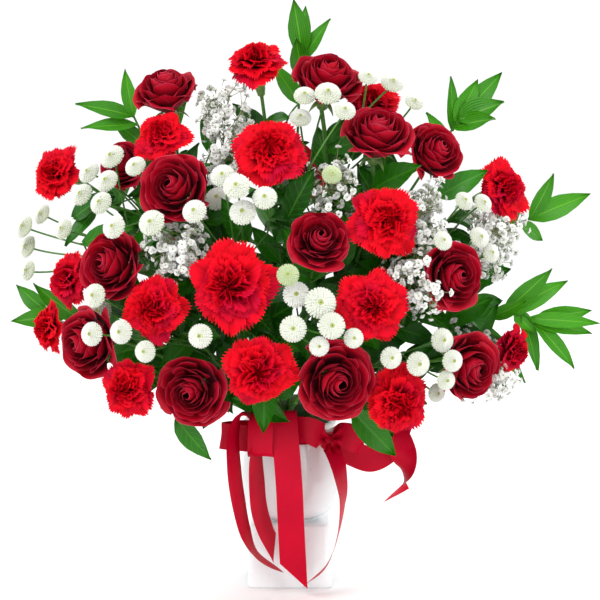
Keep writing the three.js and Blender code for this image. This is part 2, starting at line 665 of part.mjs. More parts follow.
// A head that would face back along its stalk is turned until it faces away from it.
function turnHead(head, start) {
  const away = head.place.clone().sub(start).normalize();
  while (head.front.dot(away) < 0.35) head.front.addScaledVector(away, 0.2).normalize();
}

function buttonOnStalk(head, path, draw) {
  const edge = (row, column) => [(column % 2 ? 0.95 : 1.03) + 0.04 * draw(), 0.05 * draw()];
  const rings = bloomRings(head, BUTTON_ROWS, BUTTON.columns, edge);
  const stalk = tubeRings(path, [BUTTON.pedicel, BUTTON.pedicel], 3);
  return loft([...stalk, ...rings], path[0].clone(), onAxis(head, BUTTON_ENDS[1]));
}

// Stalks leave a button spray's trunk beyond this share of its length.
const FIRST_FORK = 0.62;

function makeButtonSpray(spray, seed) {
  const draw = draws(seed);
  const trunk = trunkPath(spray, BUTTON.stem);
  const parts = [trunkSolid(trunk, BUTTON.stem)];
  const heads = spray.heads.map(([across, up, radius], i) => {
    const label = `${spray.name} head ${i + 1}`;
    const share = FIRST_FORK + (1 - FIRST_FORK) * (i + 0.5) / spray.heads.length;
    return { label, share, head: placeButton(across, up, radius, label) };
  });
  for (const { label, share, head } of heads.filter((one) => one.head)) {
    const start = pointAlong(trunk, share);
    turnHead(head, start);
    const end = onAxis(head, BUTTON_ENDS[0]);
    const path = clearStem({ start, leave: end.clone().sub(start).normalize(), end, arrive: head.front,
      lengths: 2, reach: BUTTON.pedicel, free: 9, owner: label });
    parts.push(buttonOnStalk(head, path, draw));
  }
  return { name: spray.name, parts };
}

function makeBreathSpray(spray, seed) {
  const draw = draws(seed);
  const trunk = trunkPath(spray, BREATH.stem);
  const parts = [trunkSolid(trunk, BREATH.stem)];
  spray.clouds.forEach(([across, up, forward, reach, count], i) => {
    const middle = seen([across, up, forward]);
    const start = pointAlong(trunk, 0.7 + 0.3 * (i + 1) / spray.clouds.length);
    const label = `${spray.name} limb ${i + 1}`;
    const limb = clearStem({ start, leave: middle.clone().sub(start).normalize(), end: middle,
      arrive: outward(middle), lengths: 2, reach: BREATH.limb, free: 8, owner: label });
    parts.push(tube(limb, [BREATH.limb, BREATH.limb], 3));
    for (let k = 0; k < count; k++) {
      const root = pointAlong(limb, 0.5 + 0.5 * (k + 1) / count);
      const floret = placeFloret(middle, reach, root, `${label} floret ${k + 1}`, draw);
      if (floret) parts.push(floret);
    }
  });
  return { name: spray.name, parts };
}

// A floret on its own twig, at a drawn place within `reach` of the middle of its cloud.
const FLORET_TRIES = 20;
const TWIG_FREE = 5;
const TWIG_LEAST = 9;

function placeFloret(middle, reach, root, label, draw) {
  for (let attempt = 0; attempt < FLORET_TRIES; attempt++) {
    const offset = vec(draw() - 0.5, draw() - 0.5, draw() - 0.5).multiplyScalar(2 * reach);
    const place = middle.clone().add(offset);
    if (offset.length() > reach || place.distanceTo(root) < TWIG_LEAST) continue;
    const twig = along([root, place], CHECK_STEP);
    const open = twig.filter((point) => point.distanceTo(root) > TWIG_FREE);
    if (isClear([place], BREATH.floret) && isClear(open, BREATH.twig)) {
      occupy([place], BREATH.floret, label);
      occupy(twig, BREATH.twig, label);
      return floretOnTwig(root, place, draw);
    }
  }
  return null;
}

function floretOnTwig(root, place, draw) {
  const flower = { place, front: place.clone().sub(root).normalize(), radius: BREATH.floret };
  const twig = tubeRings([root, onAxis(flower, -0.6)], [BREATH.twig, BREATH.twig], 3);
  const petals = bloomRings(flower, [[1, 0, "rim"]], 4, () => [0.85 + 0.3 * draw(), 0]);
  return loft([...twig, ...petals], root.clone(), onAxis(flower, 0.6));
}

function makeFrond(frond) {
  const line = socketLine(frond.socket);
  const rise = line.outer.clone().addScaledVector(line.direction, 40);
  const spline = new THREE.CatmullRomCurve3([line.outer, rise, ...frond.path.map(seen)]);
  const path = [line.inner, ...spline.getPoints(8)];
  const fine = along(path, 2).slice(0, -2);
  occupy(along(path, CHECK_STEP), 1.5, frond.name);
  const parts = [trunkSolid(path, 1)];
  frond.leaves.forEach(([base, tip, width]) => {
    const root = nearestPoint(fine, seen(base));
    const leaf = clearLeaf(root, seen(tip), width, SMALL_OUTLINE, frond.name, frond.name);
    if (leaf) parts.push(blade(leaf));
  });
  return { name: frond.name, parts };
}

// Broad leaves grow from a near stem of their bundle, each on a stalk that runs on into its blade.
function addBroadLeaves(bundle) {
  BROAD_LEAVES.filter(([owner]) => owner === bundle.name).forEach(([, base, tip, width], i) => {
    const label = `${bundle.name} leaf ${i + 1}`;
    const from = seen(base);
    const end = seen(tip);
    const { name, root } = stalkRoot(bundle, from, end);
    const leaf = clearLeaf(from, end, width, BROAD_OUTLINE, label, name);
    if (!leaf) return;
    occupy(along([root, from], CHECK_STEP), 0.9, label);
    bundle.parts.push(blade(leaf, root));
  });
}

function stalkRoot(bundle, from, end) {
  const reach = end.clone().sub(from).normalize();
  const cost = ({ root }) => {
    const stalk = from.clone().sub(root);
    return stalk.length() * 1.5 - stalk.dot(reach);
  };
  const spots = bundle.paths.flatMap(({ name, path }) =>
    along(path, 2).slice(8).map((root) => ({ name, root })));
  return spots.reduce((best, spot) => cost(spot) < cost(best) ? spot : best);
}

// Every second stem carries a leaf where there is room for it among the blooms.
function addStemLeaves(bundle, seed) {
  const draw = draws(seed);
  for (const { name, path } of bundle.paths.filter((_, i) => i % 2 === 0)) {
    const root = pointAlong(path, 0.6 + 0.25 * draw());
    const out = outward(root);
    const [side, other] = squareTo(out);
    const angle = 2 * Math.PI * draw();
    const aside = side.multiplyScalar(Math.cos(angle)).addScaledVector(other, Math.sin(angle));
    const tip = root.clone().addScaledVector(out, 26).addScaledVector(aside, 34);
    const leaf = clearLeaf(root, tip, 20 + 8 * draw(), SMALL_OUTLINE, `${name} leaf`, name);
    if (leaf) bundle.parts.push(blade(leaf));
  }
}

// ---- urn, foam and ribbon ----------------------------------------------------------------------

function circleRing(radius, height, sides) {
  return Array.from({ length: sides }, (_, k) => {
    const angle = 2 * Math.PI * (k + 0.5) / sides;
    return vec(radius * Math.cos(angle), radius * Math.sin(angle), height);
  });
}

// A square with rounded corners, met by the same number of points as a circle.
function squareRing(width, corner, height, sides) {
  const flat = width / 2 - corner;
  return Array.from({ length: sides }, (_, k) => {
    const angle = 2 * Math.PI * (k + 0.5) / sides;
    const quarter = Math.floor(2 * angle / Math.PI);
    const turn = angle - quarter * Math.PI / 2;
    const sweep = THREE.MathUtils.clamp((turn - Math.PI / 4) * 2.6 + Math.PI / 4, 0, Math.PI / 2);
    const point = vec(flat + corner * Math.cos(sweep), flat + corner * Math.sin(sweep), height);
    return point.applyAxisAngle(vec(0, 0, 1), quarter * Math.PI / 2);
  });
}

function makeUrn() {
  const { foot, top, height, corner, edge } = PLINTH;
  const square = (width, level) => squareRing(width, corner, level, URN_SIDES);
  const round = (radius, level) => circleRing(radius, level, URN_SIDES);
  const { waist, belly, neck, lip, rim, floor } = BOWL;
  return loft([
    square(foot - 2, 0), square(foot, edge), square(top, height - edge), square(top - 3, height),
    round(waist, height + 0.5), round(38, 68), round(45.5, 80), round(belly, 98), round(46.5, 118),
    round(neck, 142), round(neck, rim - 7.5), round(lip, rim - 5), round(lip, rim - 1.5),
    round(lip - 2, rim), round(39.5, rim - 0.5), round(39, 142), round(44, 108), round(40.5, 82),
    round(32, floor + 2),
  ], vec(0, 0, 0), vec(0, 0, floor));
}

function makeFoam(sockets) {
  const { radius, bottom, top, sides } = FOAM;
  const round = (reach, level) => circleRing(reach, level, sides);
  const block = loft([
    round(26, bottom), round(34, bottom + 12), round(radius, bottom + 22), round(radius, top - 8),
    round(radius - 5, top - 1.5),
  ], vec(0, 0, bottom), vec(0, 0, top));
  return Manifold.difference([block, ...sockets.map(socketHole)]);
}

// A flat strip through `marks`, [across, up, forward, turn, lean]: its width points `turn` degrees
// back from the right and `lean` degrees upward. It is gathered where it leaves its knot, and where
// it goes on into the knot `to`, in two stretches; a tail ends in a slant of `cut`.
function ribbonStrip({ from, to, marks, steps, cut = 0 }) {
  const first = marks[0];
  const last = marks[marks.length - 1];
  const turned = [...(from ? [first] : []), ...marks, ...(to ? [last] : [])];
  const points = [...(from ? [insideKnot(from, first)] : []), ...marks.map(seen),
    ...(to ? [insideKnot(to, last)] : [])];
  const spline = new THREE.CatmullRomCurve3(points);
  const rows = Array.from({ length: steps + 1 }, (_, i) => {
    const t = i / steps;
    const place = spline.getPoint(t);
    const run = spline.getTangent(t);
    const wide = widthDirection(turned, t);
    wide.addScaledVector(run, -wide.dot(run)).normalize();
    const fromKnot = Math.min(from ? t : 1, to ? 1 - t : 1);
    const opened = Math.min(1, RIBBON.opens * fromKnot);
    const half = THREE.MathUtils.lerp(RIBBON.gathered, RIBBON.width, opened) / 2;
    const slant = i === steps ? cut / 2 : 0;
    return [1, -1].map((w) => place.clone().addScaledVector(wide, w * half).addScaledVector(run, w * slant));
  });
  const middle = to ? Math.floor(rows.length / 2) : steps;
  return [rows.slice(0, middle + 1), rows.slice(middle)].filter((stretch) => stretch.length > 1)
    .map(sheetSolid);
}

// A sheet between pairs of points on its right and left edges, thickened along its own normals.
function sheetSolid(rows) {
  const normals = rows.map(() => [vec(0, 0, 0), vec(0, 0, 0)]);
  rows.slice(1).forEach(([nextRight, nextLeft], i) => {
    const [right, left] = rows[i];
    const slantwise = nextLeft.clone().sub(right);
    const first = left.clone().sub(right).cross(slantwise);
    const second = slantwise.clone().cross(nextRight.clone().sub(right));
    normals[i][0].add(first).add(second);
    normals[i][1].add(first);
    normals[i + 1][0].add(second);
    normals[i + 1][1].add(first).add(second);
  });
  const rings = rows.map(([right, left], i) => {
    const [a, b] = normals[i].map((normal) => normal.setLength(RIBBON.thickness / 2));
    return [right.clone().add(a), left.clone().add(b), left.clone().sub(b), right.clone().sub(a)];
  });
  const ends = [rows[0], rows[rows.length - 1]];
  const [first, last] = ends.map(([right, left]) => right.clone().lerp(left, 0.5));
  return loft(rings, first, last, SHEET_BACK);
}

const SHEET_BACK = [2];

// Each strip leaves its knot on its own side, a little below the knot's surface.
function insideKnot(knot, mark) {
  const place = seen(knot);
  return place.addScaledVector(seen(mark).sub(place).normalize(), RIBBON.knot * 0.5);
}

function widthDirection(marks, t) {
  const spot = Math.min(Math.floor(t * (marks.length - 1)), marks.length - 2);
  const share = t * (marks.length - 1) - spot;
  const [turn, lean] = [3, 4].map((k) =>
    radians(THREE.MathUtils.lerp(marks[spot][k], marks[spot + 1][k], share)));
  return vec(Math.cos(turn) * Math.cos(lean), Math.sin(turn) * Math.cos(lean), Math.sin(lean));
}

const KNOT_ROWS = [[0.7, -0.75], [1, 0], [0.7, 0.5]];
const KNOT_ENDS = [-0.96, 0.7];

function ribbonKnot(place) {
  const knot = { place: seen(place), front: vec(0, -1, 0), radius: RIBBON.knot };
  return bloomSolid(knot, KNOT_ROWS, KNOT_ENDS, 6);
}

const LEFT_KNOT = [-8, 135, 52.5];
const RIGHT_KNOT = [38, 135, 37.5];

const RIBBON_STRIPS = [
  // Left tail.
  { from: LEFT_KNOT, steps: 9, cut: 16, marks: [[-30, 154, 60, 72, 0],
    [-46, 160, 66, 70, 0], [-54, 146, 71, 66, 0], [-54, 109, 74, 60, 0], [-50, 77, 70, 60, 0],
    [-43, 45, 66, 66, 0], [-34, 25, 66, 84, 0], [-13, 8, 68, 92, 0]] },
  // Inner tail.
  { from: LEFT_KNOT, steps: 8, cut: -20, marks: [[-22, 148, 60, 100, 0],
    [-31, 146, 65, 88, 0], [-33, 118, 66, 62, 0], [-32, 93, 62, 54, 0], [-30, 69, 60, 52, 0],
    [-24, 48, 58, 54, 0], [-15, 30, 57, 58, 0]] },
  // Front tail.
  { from: LEFT_KNOT, steps: 7, cut: 26, marks: [[-8, 156, 60, 5, 0],
    [-7, 165, 70, 5, 0], [-5, 145, 77, 4, 0], [-1, 93, 78, 0, 0], [1, 50, 70, 0, 0],
    [3.5, 2, 66, 0, 0]] },
  // Right tail.
  { from: RIGHT_KNOT, steps: 8, cut: 14, marks: [[43, 124, 52, 45, 0],
    [48, 104, 62, 62, 0], [51, 77, 74, 76, 0], [47, 45, 78, 82, 0], [36, 14, 82, 84, 0],
    [16, -6, 84, 80, 0]] },
  // Left loop.
  { from: LEFT_KNOT, to: LEFT_KNOT, steps: 8, marks: [[-30, 137, 58, 0, 80],
    [-52, 139, 60, 0, 82], [-67, 141, 54, 0, 84], [-54, 143, 46, 0, 84], [-34, 143, 46, 0, 82]] },
  // Inner loop.
  { from: LEFT_KNOT, steps: 12, marks: [[-14, 152, 62, -10, 0],
    [-20, 163, 68, -15, 0], [-27, 158, 77, -20, 0], [-29, 140, 81, -20, 0], [-29, 124, 78, -20, 0],
    [-28, 121, 70, -20, 0], [-27, 138, 65, -20, 0], [-25, 156, 64, -20, 0]] },
  // Bridge.
  { from: LEFT_KNOT, to: RIGHT_KNOT, steps: 6, marks: [[6, 146, 58, 0, 82],
    [17, 146, 60, 0, 82], [27, 142, 54, 0, 82]] },
  // Right loop.
  { from: RIGHT_KNOT, to: RIGHT_KNOT, steps: 8, marks: [[50, 141, 52, 0, 70],
    [62, 137, 57, 0, 68], [72, 135, 50, 0, 68], [62, 139, 42, 0, 70], [50, 141, 38, 0, 72]] },
  // Right bow.
  { from: RIGHT_KNOT, steps: 9, marks: [[50, 130, 47, 0, 80],
    [62, 123, 51, 0, 78], [78, 118, 54, 0, 92], [93, 126, 53, 0, 125], [101, 140, 52, 0, 145],
    [106, 153, 52, 0, 155]] },
  // Right fall.
  { steps: 7, cut: 18, marks: [[98, 152, 51, 20, 0], [103, 142, 57, 15, 0],
    [109, 126, 62, 0, 0], [112.5, 110, 64, -50, 0], [110.5, 98, 63, -88, 0],
    [103, 82, 61, -140, 0]] },
];

function makeRibbon() {
  const round = (radius, level) => circleRing(radius, level, URN_SIDES);
  const { inside, outside, low, high } = NECK_BAND;
  const band = loft([round(outside, low), round(outside, high), round(inside, high), round(inside, low)]);
  const knots = [LEFT_KNOT, RIGHT_KNOT].map(ribbonKnot);
  return fuse([band, ...knots, ...RIBBON_STRIPS.flatMap(ribbonStrip)], "ribbon");
}

// ---- the whole arrangement -----------------------------------------------------------------------

const LOOKS = {
  urn: { color: 0xf1f2f4, roughness: 0.15 },
  foam: { color: 0x2f4a2c, roughness: 0.95 },
  ribbon: { color: 0xb30a22, roughness: 0.35 },
  carnation: { color: 0xd3091f, roughness: 0.7 },
  rose: { color: 0x6d0a18, roughness: 0.6 },
  button: { color: 0xf6f7ef, roughness: 0.75 },
  breath: { color: 0xeef3e6, roughness: 0.8 },
  stems: { color: 0x2c5a22, roughness: 0.6 },
  ruscus: { color: 0x3f8f1e, roughness: 0.45 },
};

const arrangement = new THREE.Group();

function addMesh(name, solid, look) {
  const { vertProperties, triVerts } = solid.getMesh();
  const geometry = new THREE.BufferGeometry();
  geometry.setAttribute("position", new THREE.BufferAttribute(vertProperties, 3));
  geometry.setIndex(new THREE.BufferAttribute(triVerts, 1));
  geometry.computeVertexNormals();
  const mesh = new THREE.Mesh(geometry, new THREE.MeshStandardMaterial({ ...look, metalness: 0 }));
  mesh.name = name;
  arrangement.add(mesh);
}

CARNATIONS.forEach((bloom) => settleBloom(bloom, false));
ROSES.forEach((bloom) => settleBloom(bloom, true));
const blooms = [...CARNATIONS, ...ROSES];

const columnsOf = (bloom, kind) => bloom.forward < FAR ? kind.farColumns : kind.columns;
CARNATIONS.forEach((bloom, i) => addMesh(bloom.name, bloomSolid(bloom, CARNATION_ROWS, CARNATION_ENDS,
  columnsOf(bloom, CARNATION), carnationEdge(draws(i + 1))), LOOKS.carnation));
ROSES.forEach((bloom, i) => addMesh(bloom.name, bloomSolid(bloom, ROSE_ROWS, ROSE_ENDS,
  columnsOf(bloom, ROSE), roseEdge(draws(i + 41))), LOOKS.rose));

const planted = [...BUNDLES, ...BUTTON_SPRAYS, ...BREATH_SPRAYS, ...FRONDS];
addMesh("urn", makeUrn(), LOOKS.urn);
addMesh("floral_foam", makeFoam(planted.map((one) => one.socket)), LOOKS.foam);
addMesh("ribbon", makeRibbon(), LOOKS.ribbon);

for (const spray of planted) {
  const line = socketLine(spray.socket);
  occupy(along([line.outer, line.beyond], CHECK_STEP), FOOT_RADIUS, spray.name);
}
const bundles = BUNDLES.map((bundle) => makeBundle(bundle, blooms));
const fronds = FRONDS.map(makeFrond);
bundles.forEach(addBroadLeaves);
const buttons = BUTTON_SPRAYS.map((spray, i) => makeButtonSpray(spray, i + 101));
const breath = BREATH_SPRAYS.map((spray, i) => makeBreathSpray(spray, i + 201));
bundles.forEach((bundle, i) => addStemLeaves(bundle, i + 301));

bundles.forEach(({ name, parts }) => addMesh(name, fuse(parts, name), LOOKS.stems));
fronds.forEach(({ name, parts }) => addMesh(name, fuse(parts, name), LOOKS.ruscus));
buttons.forEach(({ name, parts }) => addMesh(name, fuse(parts, name), LOOKS.button));
breath.forEach(({ name, parts }) => addMesh(name, fuse(parts, name), LOOKS.breath));

export default arrangement;
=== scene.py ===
# Carnations, roses, button chrysanthemums, baby's breath, ruscus and salal in a white urn: how they look.
# Lengths are in millimetres here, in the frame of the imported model, and become metres in each piece.
import math

import bpy
import numpy as np
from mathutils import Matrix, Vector


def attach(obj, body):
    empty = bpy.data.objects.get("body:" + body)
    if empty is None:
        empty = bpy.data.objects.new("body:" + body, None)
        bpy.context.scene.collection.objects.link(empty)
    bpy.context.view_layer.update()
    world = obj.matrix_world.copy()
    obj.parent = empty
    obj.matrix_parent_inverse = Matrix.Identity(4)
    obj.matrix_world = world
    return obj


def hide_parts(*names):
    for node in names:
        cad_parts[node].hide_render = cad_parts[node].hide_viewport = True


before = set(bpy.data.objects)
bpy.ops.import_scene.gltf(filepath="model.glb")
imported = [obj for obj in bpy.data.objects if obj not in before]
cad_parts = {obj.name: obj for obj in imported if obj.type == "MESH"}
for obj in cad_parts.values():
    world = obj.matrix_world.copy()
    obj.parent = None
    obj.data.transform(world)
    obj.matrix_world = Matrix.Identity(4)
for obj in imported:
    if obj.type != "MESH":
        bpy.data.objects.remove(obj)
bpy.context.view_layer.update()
MM = 0.001
TURN = 2 * math.pi
QUARTER = math.pi / 2
PHASE = 6.28  # a drawn share of this is where a wave starts

# ---- places, as in the model ----

PLINTH = {"foot": 82, "top": 76, "height": 61, "corner": 7}
BOWL = {"waist": 26, "belly": 48.5, "neck": 42.5, "lip": 45, "rim": 157.5, "floor": 71.5}
STEM_FOCUS = np.array([0, 0, 146.0])
SOCKET = {"from": 18, "out": 46, "beyond": 62}
FOOT_RADIUS = 2.2
EYE_DISTANCE = 2400
EYE_RISE = math.radians(7)
EYE_TARGET = np.array([9.6, 0, 273])
EYE = EYE_TARGET + EYE_DISTANCE * np.array([0, -math.cos(EYE_RISE), math.sin(EYE_RISE)])
VIEW_WIDTH = 576  # what the photograph's width spans at the urn's axis
DOME = {"half_width": 245, "depth": 175, "middle": 240, "above": 290, "below": 150}
KINDS = {  # base and fall are in radii of the bloom; a cup's rings are shares of its length, and radii
    "carnation": {"stem": 1.7, "base": -0.5, "fall": 0.6, "calyx": 20, "rim": (4.5, 6.4),
                  "cup": [(1, 1.8), (0.9, 3.6), (0.6, 4.6), (0.2, 5.0)]},
    "rose": {"stem": 2.1, "base": -1.02, "fall": 1.1, "calyx": 9, "rim": (1.5, 5.0),
             "cup": [(1, 2.2), (0.8, 4.4), (0.45, 6.2), (0.1, 6.6)]},
}
BUTTON = {"pedicel": 0.9, "stem": 1.5, "base": -0.4}
BREATH = {"floret": 3.4, "twig": 0.6, "limb": 0.8, "stem": 1.2}
RIBBON = {"width": 25, "gathered": 7, "opens": 6, "knot": 9}
NECK_BAND = {"radius": 44.2, "low": 140, "high": 149}

# Each bloom, in the order of its number: across, up, forward, radius, turn and tilt.
BLOOMS = {
    "carnation": [
        (-32, 500, 75, 33, -15, 60), (-223, 394, 15, 30, -45, 15), (-122, 430, 85, 30, -20, 35),
        (-19, 415, 135, 39.5, -5, 30), (92, 349, 145, 36.5, 20, 15), (202, 380, 60, 34, 45, 20),
        (-56, 286, 168, 44, -8, 5), (-130, 264, 143, 34, -20, 5), (78, 267, 162, 36.5, 12, 5),
        (-31, 205, 177, 39.5, 3, 0), (-155, 188, 130, 33, -30, -8), (104, 175, 138, 35.5, 20, -10),
        (-211, 293, 70, 30, -55, 10), (-230, 246, 42, 28, -65, 0), (213, 225, 66, 28, 60, -5),
        (79, 461, 46, 30, 10, 50), (-95, 330, -108, 33, -150, 20), (98, 290, -112, 34, 150, 12),
    ],
    "rose": [
        (-119, 479, 52, 29, -20, 64), (36, 490, 82, 31, 15, 58), (84, 438, 118, 31, 12, 58),
        (141, 418, 95, 27, 30, 28), (-112, 382, 134, 32, -20, 20), (-162, 404, 55, 23.5, -35, 25),
        (29, 333, 165, 27, 5, 25), (160, 297, 132, 30, 30, 8), (-175, 307, 122, 32, -35, 12),
        (-199, 230, 110, 32, -42, 0), (-96, 183, 148, 31, -15, -5), (46, 193, 172, 34, 15, -3),
        (177, 207, 125, 31, 35, -5), (4, 400, -105, 31, 175, 30),
    ],
}

LOW, MIDDLE, HIGH = 26, 50, 74

# Each bundle: name, its socket (round, rise), and the numbers of the carnations and roses that it carries.
BUNDLES = [
    ("stems_front", (-5, LOW), [7, 10], [7, 11, 12]),
    ("stems_left_low", (-62, LOW), [8, 11, 13, 14], [9, 10]),
    ("stems_right_low", (52, LOW), [9, 12, 15], [8, 13]),
    ("stems_left_high", (-80, MIDDLE), [2, 3], [1, 5, 6]),
    ("stems_right_high", (80, MIDDLE), [5, 6, 16], [3, 4]),
    ("stems_top", (0, HIGH), [1, 4], [2]),
    ("stems_back", (-160, MIDDLE), [17, 18], [14]),
]

# Each spray: name, socket, fork, and heads [across, up, radius].
BUTTON_SPRAYS = [
    ("buttons_left", (-118, LOW), (-152, 336, 36),
     [(-169, 410, 12), (-191, 395, 11), (-174, 387, 11), (-198, 374, 11), (-180, 366, 11),
      (-147, 401, 10), (-236, 355, 10), (-253, 343, 11), (-250, 324, 11), (-250, 301, 10),
      (-216, 341, 10), (-168, 343, 11)]),
    ("buttons_upper_left", (-90, HIGH), (-66, 330, 80),
     [(-64, 392, 11), (-51, 382, 12), (-69, 370, 12), (-24, 371, 11), (-91, 358, 11),
      (-45, 357, 12), (-132, 347, 12)]),
    ("buttons_low_left", (-33, LOW), (-110, 245, 95),
     [(-187, 277, 11), (-181, 262, 13), (-190, 240, 11), (-162, 242, 11), (-139, 223, 10),
      (-86, 238, 11)]),
    ("buttons_front", (0, MIDDLE), (22, 275, 95),
     [(-2, 297, 10), (6, 278, 12), (3, 245, 12), (29, 270, 14), (40, 248, 12), (61, 236, 9),
      (28, 228, 9)]),
    ("buttons_low_right", (24, LOW), (110, 222, 90),
     [(146, 234, 11), (156, 214, 10), (97, 217, 10), (123, 211, 11), (141, 183, 9), (150, 195, 9)]),
    ("buttons_top", (90, HIGH), (45, 400, 40),
     [(36, 470, 12), (14, 468, 10), (10, 447, 10), (52, 454, 10), (74, 486, 9), (97, 480, 11),
      (118, 462, 9), (40, 393, 9)]),
    ("buttons_right", (120, MIDDLE), (150, 300, 40),
     [(166, 368, 9), (184, 366, 9), (181, 333, 10), (192, 318, 9), (146, 330, 9)]),
]

# Each spray: name, socket, fork, and clouds of florets (across, up, forward, reach, count).
BREATH_SPRAYS = [
    ("breath_left", (-40, MIDDLE), (-95, 310, 85), [(-110, 325, 134, 32, 8), (-62, 458, 55, 32, 5)]),
    ("breath_right", (40, MIDDLE), (105, 300, 85),
     [(124, 356, 110, 28, 5), (120, 290, 135, 34, 7), (32, 382, 125, 20, 2)]),
    ("breath_far_right", (107, LOW), (165, 275, 30), [(196, 342, 54, 38, 10), (205, 200, 90, 24, 4)]),
    ("breath_back", (-145, LOW), (-30, 290, -80), [(-20, 300, -120, 34, 5), (60, 350, -110, 30, 4)]),
]

# Each frond: name, socket, path, and leaves (base, tip, width).
FRONDS = [
    ("ruscus_top", (180, HIGH), [(6, 400, -10), (11, 505, 18), (12, 512, 20)],
     [((11, 508, 20), (3, 560, 26), 21), ((12, 512, 20), (15, 553, 10), 14),
      ((11, 500, 18), (39, 541, 22), 15), ((10, 490, 16), (5, 524, 34), 21),
      ((8, 460, 6), (-18, 500, 4), 18)]),
    ("ruscus_upper_left", (-120, MIDDLE), [(-110, 350, -12), (-140, 430, 12), (-150, 452, 16)],
     [((-149, 450, 16), (-204, 460, 22), 17), ((-147, 440, 14), (-199, 437, 24), 14),
      ((-150, 455, 16), (-156, 494, 20), 15), ((-137, 420, 8), (-168, 444, 0), 17),
      ((-128, 400, 2), (-96, 466, 4), 22), ((-121, 388, -1), (-70, 400, -30), 20),
      ((-110, 350, -12), (-150, 372, -30), 20)]),
    ("ruscus_upper_right", (160, MIDDLE), [(110, 370, -30), (150, 430, 18), (163, 448, 24)],
     [((153, 436, 20), (152, 487, 26), 13), ((158, 442, 22), (178, 484, 20), 20),
      ((163, 450, 24), (201, 490, 12), 21), ((163, 447, 24), (204, 462, 34), 25),
      ((157, 436, 22), (196, 446, 44), 22), ((145, 424, 14), (129, 452, 10), 15),
      ((135, 405, -4), (160, 420, -34), 21)]),
    ("ruscus_right", (134, LOW), [(160, 300, -30), (215, 345, -6), (232, 352, 0)],
     [((231, 352, 0), (251, 395, 6), 17), ((232, 352, 0), (287, 375, 4), 22),
      ((218, 346, -6), (240, 330, -26), 17), ((203, 335, -12), (217, 378, -30), 18),
      ((180, 316, -22), (206, 296, -44), 20)]),
    ("ruscus_low_right", (80, LOW), [(150, 230, 12), (205, 262, 30), (236, 252, 34)],
     [((203, 273, 30), (251, 304, 40), 20), ((205, 263, 30), (266, 292, 34), 21),
      ((190, 258, 28), (228, 274, 50), 15), ((214, 260, 32), (220, 238, 50), 17),
      ((236, 253, 34), (289, 263, 24), 18), ((230, 255, 34), (298, 250, 44), 15),
      ((228, 254, 33), (290, 240, 30), 17), ((233, 252, 34), (273, 206, 44), 17),
      ((222, 256, 33), (237, 205, 30), 18), ((180, 250, 24), (226, 192, 26), 17)]),
    ("ruscus_left", (-91, LOW), [(-130, 220, -8), (-190, 250, -14), (-236, 262, -10)],
     [((-215, 254, -12), (-268, 252, -6), 20), ((-232, 262, -10), (-262, 288, -20), 17),
      ((-200, 252, -14), (-246, 290, 6), 20), ((-185, 248, -14), (-214, 214, -20), 21),
      ((-160, 236, -12), (-190, 290, -30), 20)]),
    ("ruscus_back", (161, LOW), [(40, 240, -100), (70, 262, -150), (84, 280, -172)],
     [((84, 280, -172), (104, 318, -182), 20), ((76, 270, -160), (120, 262, -170), 20),
      ((70, 262, -150), (50, 300, -160), 21), ((58, 252, -130), (84, 218, -140), 21),
      ((46, 242, -110), (14, 228, -142), 22)]),
]

# Broad leaves of each bundle: base, tip, width.
BROAD_LEAVES = {
    "stems_top": [
        ((-2, 352, 112), (24, 400, 136), 24), ((-42, 330, 90), (-66, 372, 112), 24),
    ],
    "stems_right_high": [
        ((40, 362, 120), (71, 383, 138), 22), ((80, 380, 92), (126, 402, 122), 26),
        ((140, 372, 84), (181, 408, 82), 22),
    ],
    "stems_front": [
        ((50, 306, 118), (76, 350, 134), 24), ((-22, 245, 100), (12, 222, 136), 26),
    ],
    "stems_left_high": [
        ((-206, 352, 30), (-168, 376, 62), 20), ((-150, 322, 84), (-142, 372, 96), 18),
        ((-184, 360, 30), (-228, 352, 22), 16), ((-76, 414, 22), (-77, 464, 10), 17),
    ],
    "stems_left_low": [
        ((-198, 328, 60), (-146, 342, 92), 20), ((-110, 158, 110), (-76, 118, 118), 20),
    ],
    "stems_right_low": [
        ((60, 166, 112), (101, 122, 108), 26), ((150, 255, 70), (196, 276, 96), 24),
    ],
    "stems_back": [
        ((-30, 268, -96), (-70, 232, -142), 34), ((20, 300, -104), (44, 356, -138), 32),
        ((-10, 330, -100), (-44, 382, -124), 32), ((0, 240, -92), (30, 196, -120), 32),
    ],
}

LEFT_KNOT = (-8, 135, 52.5)
RIGHT_KNOT = (38, 135, 37.5)

